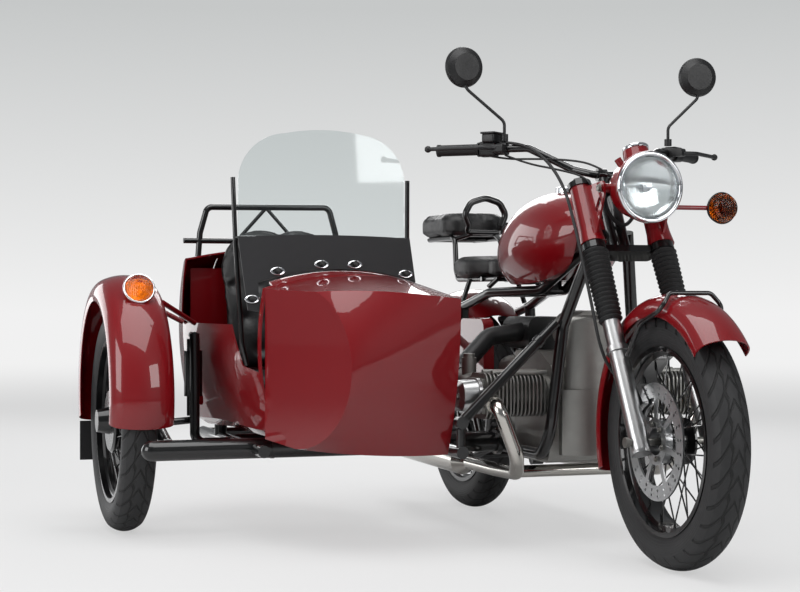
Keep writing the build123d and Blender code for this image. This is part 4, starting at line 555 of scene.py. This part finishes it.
def add_hose(name, points, diameter, body, material):
    """A held cable or hose along a smooth line, as a tube."""
    clear_selection()
    curve = bpy.data.curves.new(name, "CURVE")
    curve.dimensions = "3D"
    curve.resolution_u = 12
    curve.bevel_depth = diameter / 2
    curve.bevel_resolution = 4
    curve.use_fill_caps = True
    spline = curve.splines.new("NURBS")
    spline.points.add(len(points) - 1)
    for point, place in zip(spline.points, points):
        point.co = tuple(place) + (1.0,)
    spline.order_u = 3
    spline.use_endpoint_u = True
    piece = bpy.data.objects.new(name, curve)
    bpy.context.scene.collection.objects.link(piece)
    piece.select_set(True)
    bpy.context.view_layer.objects.active = piece
    bpy.ops.object.convert(target="MESH")
    bpy.ops.object.shade_smooth()
    return seat_piece(piece, name, body, material)


def bowl_piece(centre, way, radius, depth, keep_front, thick):
    """Half of a stretched sphere with a wall: a lens or a reflector."""
    clear_selection()
    bpy.ops.mesh.primitive_uv_sphere_add(segments=64, ring_count=32, radius=radius, location=(0, 0, 0))
    piece = bpy.context.object
    piece.scale.z = depth / radius
    bpy.ops.object.transform_apply(location=False, rotation=False, scale=True)
    bpy.ops.object.mode_set(mode="EDIT")
    bpy.ops.mesh.select_all(action="SELECT")
    bpy.ops.mesh.bisect(plane_co=(0, 0, 0), plane_no=(0, 0, 1), clear_inner=keep_front,
                        clear_outer=not keep_front)
    bpy.ops.object.mode_set(mode="OBJECT")
    wall = piece.modifiers.new("wall", "SOLIDIFY")
    wall.thickness = thick
    wall.offset = -1
    apply_modifiers(piece)
    bpy.ops.object.shade_smooth()
    piece.location = centre
    piece.rotation_euler = facing(way)
    return piece


def ring_of(centre, way, radius, count, turn=0.0):
    """Places round a circle, each facing along its axis."""
    way = Vector(way).normalized()
    side = way.orthogonal().normalized()
    up = way.cross(side)
    angles = [turn + 2 * pi * i / count for i in range(count)]
    return [(centre + (side * cos(angle) + up * sin(angle)) * radius, way) for angle in angles]


class SidecarSettings(bpy.types.PropertyGroup):
    """Sizes and colours that a user would change."""
    red: bpy.props.StringProperty(name="Paint", description="Colour of the painted panels, as sRGB hex",
                                  default="#7A000A")
    black: bpy.props.StringProperty(name="Frame", description="Colour of the frame tubes, as sRGB hex",
                                    default="#0A0A0B")
    button_pitch: bpy.props.FloatProperty(name="Button pitch",
                                          description="Height between the rows of the seat back's buttons",
                                          default=0.105, unit="LENGTH", subtype="DISTANCE")


class SIDECAR_OT_finishes(bpy.types.Operator):
    """Give each solid of the machine its finish"""
    bl_idname = "sidecar.finishes"
    bl_label = "Finishes"

    def execute(self, context):
        settings = context.scene.sidecar
        make_materials(settings.red, settings.black)
        for finish, names in FINISH.items():
            for name in names:
                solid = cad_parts[name]
                solid.data.materials.clear()
                solid.data.materials.append(MATERIALS[finish])
        for name in ("front_tyre", "rear_tyre", "sidecar_tyre"):
            low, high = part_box(name)
            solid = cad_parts[name]
            solid.data.materials.clear()
            solid.data.materials.append(tyre_rubber("vulcanised_rubber_" + name, (low + high) / 2))
        low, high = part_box("brake_disc")
        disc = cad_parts["brake_disc"]
        disc.data.materials.clear()
        disc.data.materials.append(ground_steel("ground_stainless_disc", (low + high) / 2))
        clear_selection()
        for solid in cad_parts.values():
            solid.select_set(True)
            context.view_layer.objects.active = solid
        bpy.ops.object.shade_smooth_by_angle(angle=radians(32))
        clear_selection()
        return {"FINISHED"}


class SIDECAR_OT_seats(bpy.types.Operator):
    """Stuff the saddles, the sidecar's cushion and its buttoned back"""
    bl_idname = "sidecar.seats"
    bl_label = "Seats"

    def execute(self, context):
        pad_from("rider_saddle", "rider_saddle_cover", 0.007, 0.012, 5.0, [])
        pad_from("pillion_seat", "pillion_cover", 0.007, 0.012, 5.0, [])
        pad_from("sidecar_cushion", "cushion_cover", 0.008, 0.016, 5.0, [])
        lean = radians(SEAT_BACK_LEAN)
        face = Vector((cos(lean), 0, sin(lean)))
        up = Vector((-sin(lean), 0, cos(lean)))
        pitch = context.scene.sidecar.button_pitch
        root = at(*SEAT_BACK_FOOT)
        pins = []
        for row in range(4):
            for column in range(-2, 3):
                across = (column + (0.5 if row % 2 else 0)) * pitch * 0.8
                rise = 0.07 + row * pitch
                if abs(across) < 0.19:
                    pins.append((root + up * rise + Vector((0, across, 0)) - face * 0.006, face * -0.014))
        pad_from("sidecar_seat_back", "seat_back_cover", 0.007, 0.018, 5.0, pins)
        return {"FINISHED"}


class SIDECAR_OT_headlight(bpy.types.Operator):
    """Glass, reflector, bulb, rim and nuts of the headlight, and the speedometer's rim and face"""
    bl_idname = "sidecar.headlight"
    bl_label = "Headlight"

    def execute(self, context):
        centre = at(*HEADLIGHT_FACE)
        ahead = Vector((1, 0, 0))
        lens = bowl_piece(centre - ahead * 0.006, ahead, LENS_RADIUS, 0.016, True, 0.003)
        seat_piece(lens, "headlight_glass", "steering", "glass")
        bowl = bowl_piece(centre - ahead * 0.007, ahead, LENS_RADIUS, 0.032, False, 0.0015)
        seat_piece(bowl, "headlight_reflector", "steering", "mirror")
        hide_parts("headlight_lens")
        bulb = add_cap(centre - ahead * 0.022, ahead, 0.013, 0.016, 0.004, 0.004, 32)
        seat_piece(bulb, "headlight_bulb", "steering", "chrome")
        rim = add_ring(centre - ahead * 0.004, ahead, RIM_RADIUS, 0.0068, 1.2)
        seat_piece(rim, "headlight_rim", "steering", "chrome")
        nuts = [(at(1270, side * 111.3, 1021), Vector((0, side, 0))) for side in (-1, 1)]
        add_bolts("headlight_nuts", nuts, 0.009, "steering", "zinc")
        dial = add_cap(at(1266, 0, 1130), (-0.42, 0, 1), 0.036, 0.010, 0.004, -0.003)
        seat_piece(dial, "speedometer_rim", "steering", "chrome")
        face = add_cap(at(1265.4, 0, 1132), (-0.42, 0, 1), 0.030, 0.006, 0.002, 0.0005)
        seat_piece(face, "speedometer_face", "steering", "plastic")
        return {"FINISHED"}


class SIDECAR_OT_lamps(bpy.types.Operator):
    """The sidecar lamp's rim, the turn lamp's housing and rim, and the mirrors' glass"""
    bl_idname = "sidecar.lamps"
    bl_label = "Lamps and mirrors"

    def execute(self, context):
        lean = radians(SIDECAR_LAMP_LEAN)
        way = Vector((cos(lean), 0, sin(lean)))
        centre = at(*SIDECAR_LAMP_FACE)
        seat_piece(add_ring(centre + way * 0.001, way, 0.0445, 0.0042, 1.3), "sidecar_lamp_rim", "chassis",
                   "chrome")
        turn = at(*TURN_LAMP_FACE)
        shell = bowl_piece(turn - Vector((0.002, 0, 0)), (-1, 0, 0), 0.0432, 0.035, True, 0.0025)
        seat_piece(shell, "turn_lamp_housing", "steering", "plastic")
        rim = add_ring(turn, (1, 0, 0), 0.0428, 0.0022, 1.2)
        seat_piece(rim, "turn_lamp_rim", "steering", "plastic")
        for side, hand in ((-1, "right"), (1, "left")):
            back = Vector((-1, side * 0.12, 0)).normalized()
            head = at(914, side * 377, 1385)
            glass = add_cap(head + back * 0.0012, back, 0.0545, 0.003, 0.002, -0.0006)
            seat_piece(glass, "mirror_glass_" + hand, "steering", "mirror")
        return {"FINISHED"}


class SIDECAR_OT_controls(bpy.types.Operator):
    """Brake reservoir, brake hose, cables and wiring of the steering"""
    bl_idname = "sidecar.controls"
    bl_label = "Cables and reservoir"

    def execute(self, context):
        clear_selection()
        bpy.ops.mesh.primitive_cube_add(size=1, location=at(*RESERVOIR),
                                        rotation=(0, 0, radians(RESERVOIR_TURN)))
        tank = context.object
        tank.scale = (0.058, 0.040, 0.026)
        bpy.ops.object.transform_apply(location=False, rotation=False, scale=True)
        bevelled(tank, 0.005, 4)
        seat_piece(tank, "brake_reservoir", "steering", "plastic")
        clear_selection()
        bpy.ops.mesh.primitive_cube_add(size=1, location=at(*RESERVOIR_LID),
                                        rotation=(0, 0, radians(RESERVOIR_TURN)))
        lid = context.object
        lid.scale = (0.064, 0.046, 0.006)
        bpy.ops.object.transform_apply(location=False, rotation=False, scale=True)
        bevelled(lid, 0.002, 3)
        seat_piece(lid, "reservoir_lid", "steering", "plastic")
        for name, (diameter, route) in CORDS.items():
            add_hose(name, [at(*place) for place in route], diameter, "steering", "rubber")
        return {"FINISHED"}


class SIDECAR_OT_hardware(bpy.types.Operator):
    """Bolts, nuts, caps and the fuel filler"""
    bl_idname = "sidecar.hardware"
    bl_label = "Hardware"

    def execute(self, context):
        tilt = Vector((0.1, 0, 1)).normalized()
        cap = add_cap(at(800, 0, 1024) + tilt * 0.0135, tilt, 0.034, 0.028, 0.009, 0.003)
        seat_piece(cap, "fuel_cap", "chassis", "chrome")
        places = []
        for side in (-1, 1):
            for across in (-34, 34):
                places.append((at(925 + across, side * 409.6, 436), Vector((0, side, 0))))
        add_bolts("rocker_nuts", places, 0.007, "chassis", "zinc")
        axle = Vector((0, -1, 0))
        add_bolts("disc_bolts", ring_of(at(1500, -62, 340), axle, 0.046, 6), 0.006, "front_wheel",
                  "zinc")
        add_bolts("frame_bolts", [(at(650, -160, 317), (0, 0, 1))], 0.010, "chassis", "zinc")
        lean = radians(APRON_LEAN)
        face = Vector((cos(lean), 0, sin(lean)))
        up = Vector((-sin(lean), 0, cos(lean)))
        root = at(*APRON_FOOT)
        for index, (y, rise) in enumerate(FASTENERS):
            place = root + Vector((0, y / 1000, 0)) + up * rise / 1000 + face * 0.0068
            ring = add_ring(place, face, 0.0105, 0.0022, 0.9)
            ring.scale.x = 1.75
            seat_piece(ring, "eyelet_%d" % (index + 1), "chassis", "chrome")
            knob = add_cap(place + face * 0.004 + up * 0.001, face, 0.0078, 0.012, 0.002, 0.001, 24)
            seat_piece(knob, "turn_button_%d" % (index + 1), "chassis", "plastic")
        return {"FINISHED"}


class SIDECAR_OT_studio(bpy.types.Operator):
    """Floor, lights and camera"""
    bl_idname = "sidecar.studio"
    bl_label = "Studio"

    def execute(self, context):
        clear_selection()
        bpy.ops.mesh.primitive_plane_add(size=40, location=(0, 0, 0))
        floor = context.object
        floor.name = "floor"
        material, tree = new_material("pale_studio_floor")
        path = add_node(tree, "LightPath")
        plain = add_node(tree, "BsdfDiffuse", {"Color": linear("#DADADA")})
        glow = add_node(tree, "Emission", {"Color": linear("#F1F1F1"), "Strength": 1.0})
        place = add_node(tree, "TexCoord")
        reach = add_node(tree, "VectorMath", {}, {0: (place, "Object")}, operation="LENGTH")
        far = add_node(tree, "MapRange", {"From Min": 1.5, "From Max": 16.0, "To Min": 0.60, "To Max": 1.0},
                       {"Value": (reach, "Value")}, interpolation_type="SMOOTHERSTEP")
        half = add_node(tree, "Math", {}, {0: (path, "Is Camera Ray"), 1: (far, "Result")},
                        operation="MULTIPLY")
        mixed = add_node(tree, "MixShader", {}, {0: (half, "Value"), 1: (plain, "BSDF"),
                                                 2: (glow, "Emission")})
        add_node(tree, "OutputMaterial", links={"Surface": (mixed, "Shader")})
        floor.data.materials.append(material)
        world = bpy.data.worlds.new("studio")
        context.scene.world = world
        world.use_nodes = True
        tree = world.node_tree
        tree.nodes.clear()
        path = add_node(tree, "LightPath")
        place = add_node(tree, "TexCoord")
        split = add_node(tree, "SeparateXYZ", {}, {"Vector": (place, "Generated")})
        rise = add_node(tree, "MapRange", {"From Min": -0.01, "From Max": 0.16, "To Min": 0.0, "To Max": 1.0},
                        {"Value": (split, "Z")})
        shade = add_node(tree, "MixRGB", {"Color1": linear("#F1F1F1"), "Color2": linear("#C6C8C8")},
                         {"Fac": (rise, "Result")})
        seen = add_node(tree, "Background", {"Strength": 1.0}, {"Color": (shade, "Color")})
        lit = add_node(tree, "Background", {"Color": linear("#C9CCD0"), "Strength": 0.30})
        through = add_node(tree, "Math", {}, {0: (path, "Is Camera Ray"), 1: (path, "Is Transmission Ray")},
                           operation="MAXIMUM")
        mirrored = add_node(tree, "Math", {1: 0.06}, {0: (path, "Is Glossy Ray")}, operation="MULTIPLY")
        direct = add_node(tree, "Math", {}, {0: (through, "Value"), 1: (mirrored, "Value")},
                          operation="MAXIMUM")
        mixed = add_node(tree, "MixShader", {}, {0: (direct, "Value"), 1: (lit, "Background"),
                                                 2: (seen, "Background")})
        add_node(tree, "OutputWorld", links={"Surface": (mixed, "Shader")})
        for name, place, aim, size, power in LIGHTS:
            light = bpy.data.lights.new(name, "AREA")
            light.size = size
            light.energy = power
            lamp = bpy.data.objects.new(name, light)
            context.scene.collection.objects.link(lamp)
            lamp.location = place
            lamp.rotation_euler = (Vector(aim) - Vector(place)).to_track_quat("-Z", "Y").to_euler()
        camera_data = bpy.data.cameras.new("photo_view")
        camera_data.sensor_width = CAMERA_SENSOR
        camera_data.lens = CAMERA_LENS
        camera = bpy.data.objects.new("photo_view", camera_data)
        context.scene.collection.objects.link(camera)
        camera.location = at(*CAMERA_PLACE)
        camera.rotation_euler = (radians(90), 0, radians(CAMERA_TURN))
        context.scene.camera = camera
        context.scene.view_settings.view_transform = "Standard"
        return {"FINISHED"}


OPERATORS = (SIDECAR_OT_finishes, SIDECAR_OT_seats, SIDECAR_OT_headlight, SIDECAR_OT_lamps,
             SIDECAR_OT_controls, SIDECAR_OT_hardware, SIDECAR_OT_studio)


class SIDECAR_PT_panel(bpy.types.Panel):
    """Lists the steps that dress the machine"""
    bl_label = "Sidecar motorcycle"
    bl_idname = "SIDECAR_PT_panel"
    bl_space_type = "VIEW_3D"
    bl_region_type = "UI"
    bl_category = "Sidecar"

    def draw(self, context):
        for name in ("red", "black", "button_pitch"):
            self.layout.prop(context.scene.sidecar, name)
        for operator in OPERATORS:
            self.layout.operator(operator.bl_idname)


def register():
    for item in (SidecarSettings,) + OPERATORS + (SIDECAR_PT_panel,):
        bpy.utils.register_class(item)
    bpy.types.Scene.sidecar = bpy.props.PointerProperty(type=SidecarSettings)


def unregister():
    del bpy.types.Scene.sidecar
    for item in reversed((SidecarSettings,) + OPERATORS + (SIDECAR_PT_panel,)):
        bpy.utils.unregister_class(item)


def main():
    register()
    bpy.ops.sidecar.finishes()
    bpy.ops.sidecar.seats()
    bpy.ops.sidecar.headlight()
    bpy.ops.sidecar.lamps()
    bpy.ops.sidecar.controls()
    bpy.ops.sidecar.hardware()
    bpy.ops.sidecar.studio()


if __name__ == "__main__":
    main()
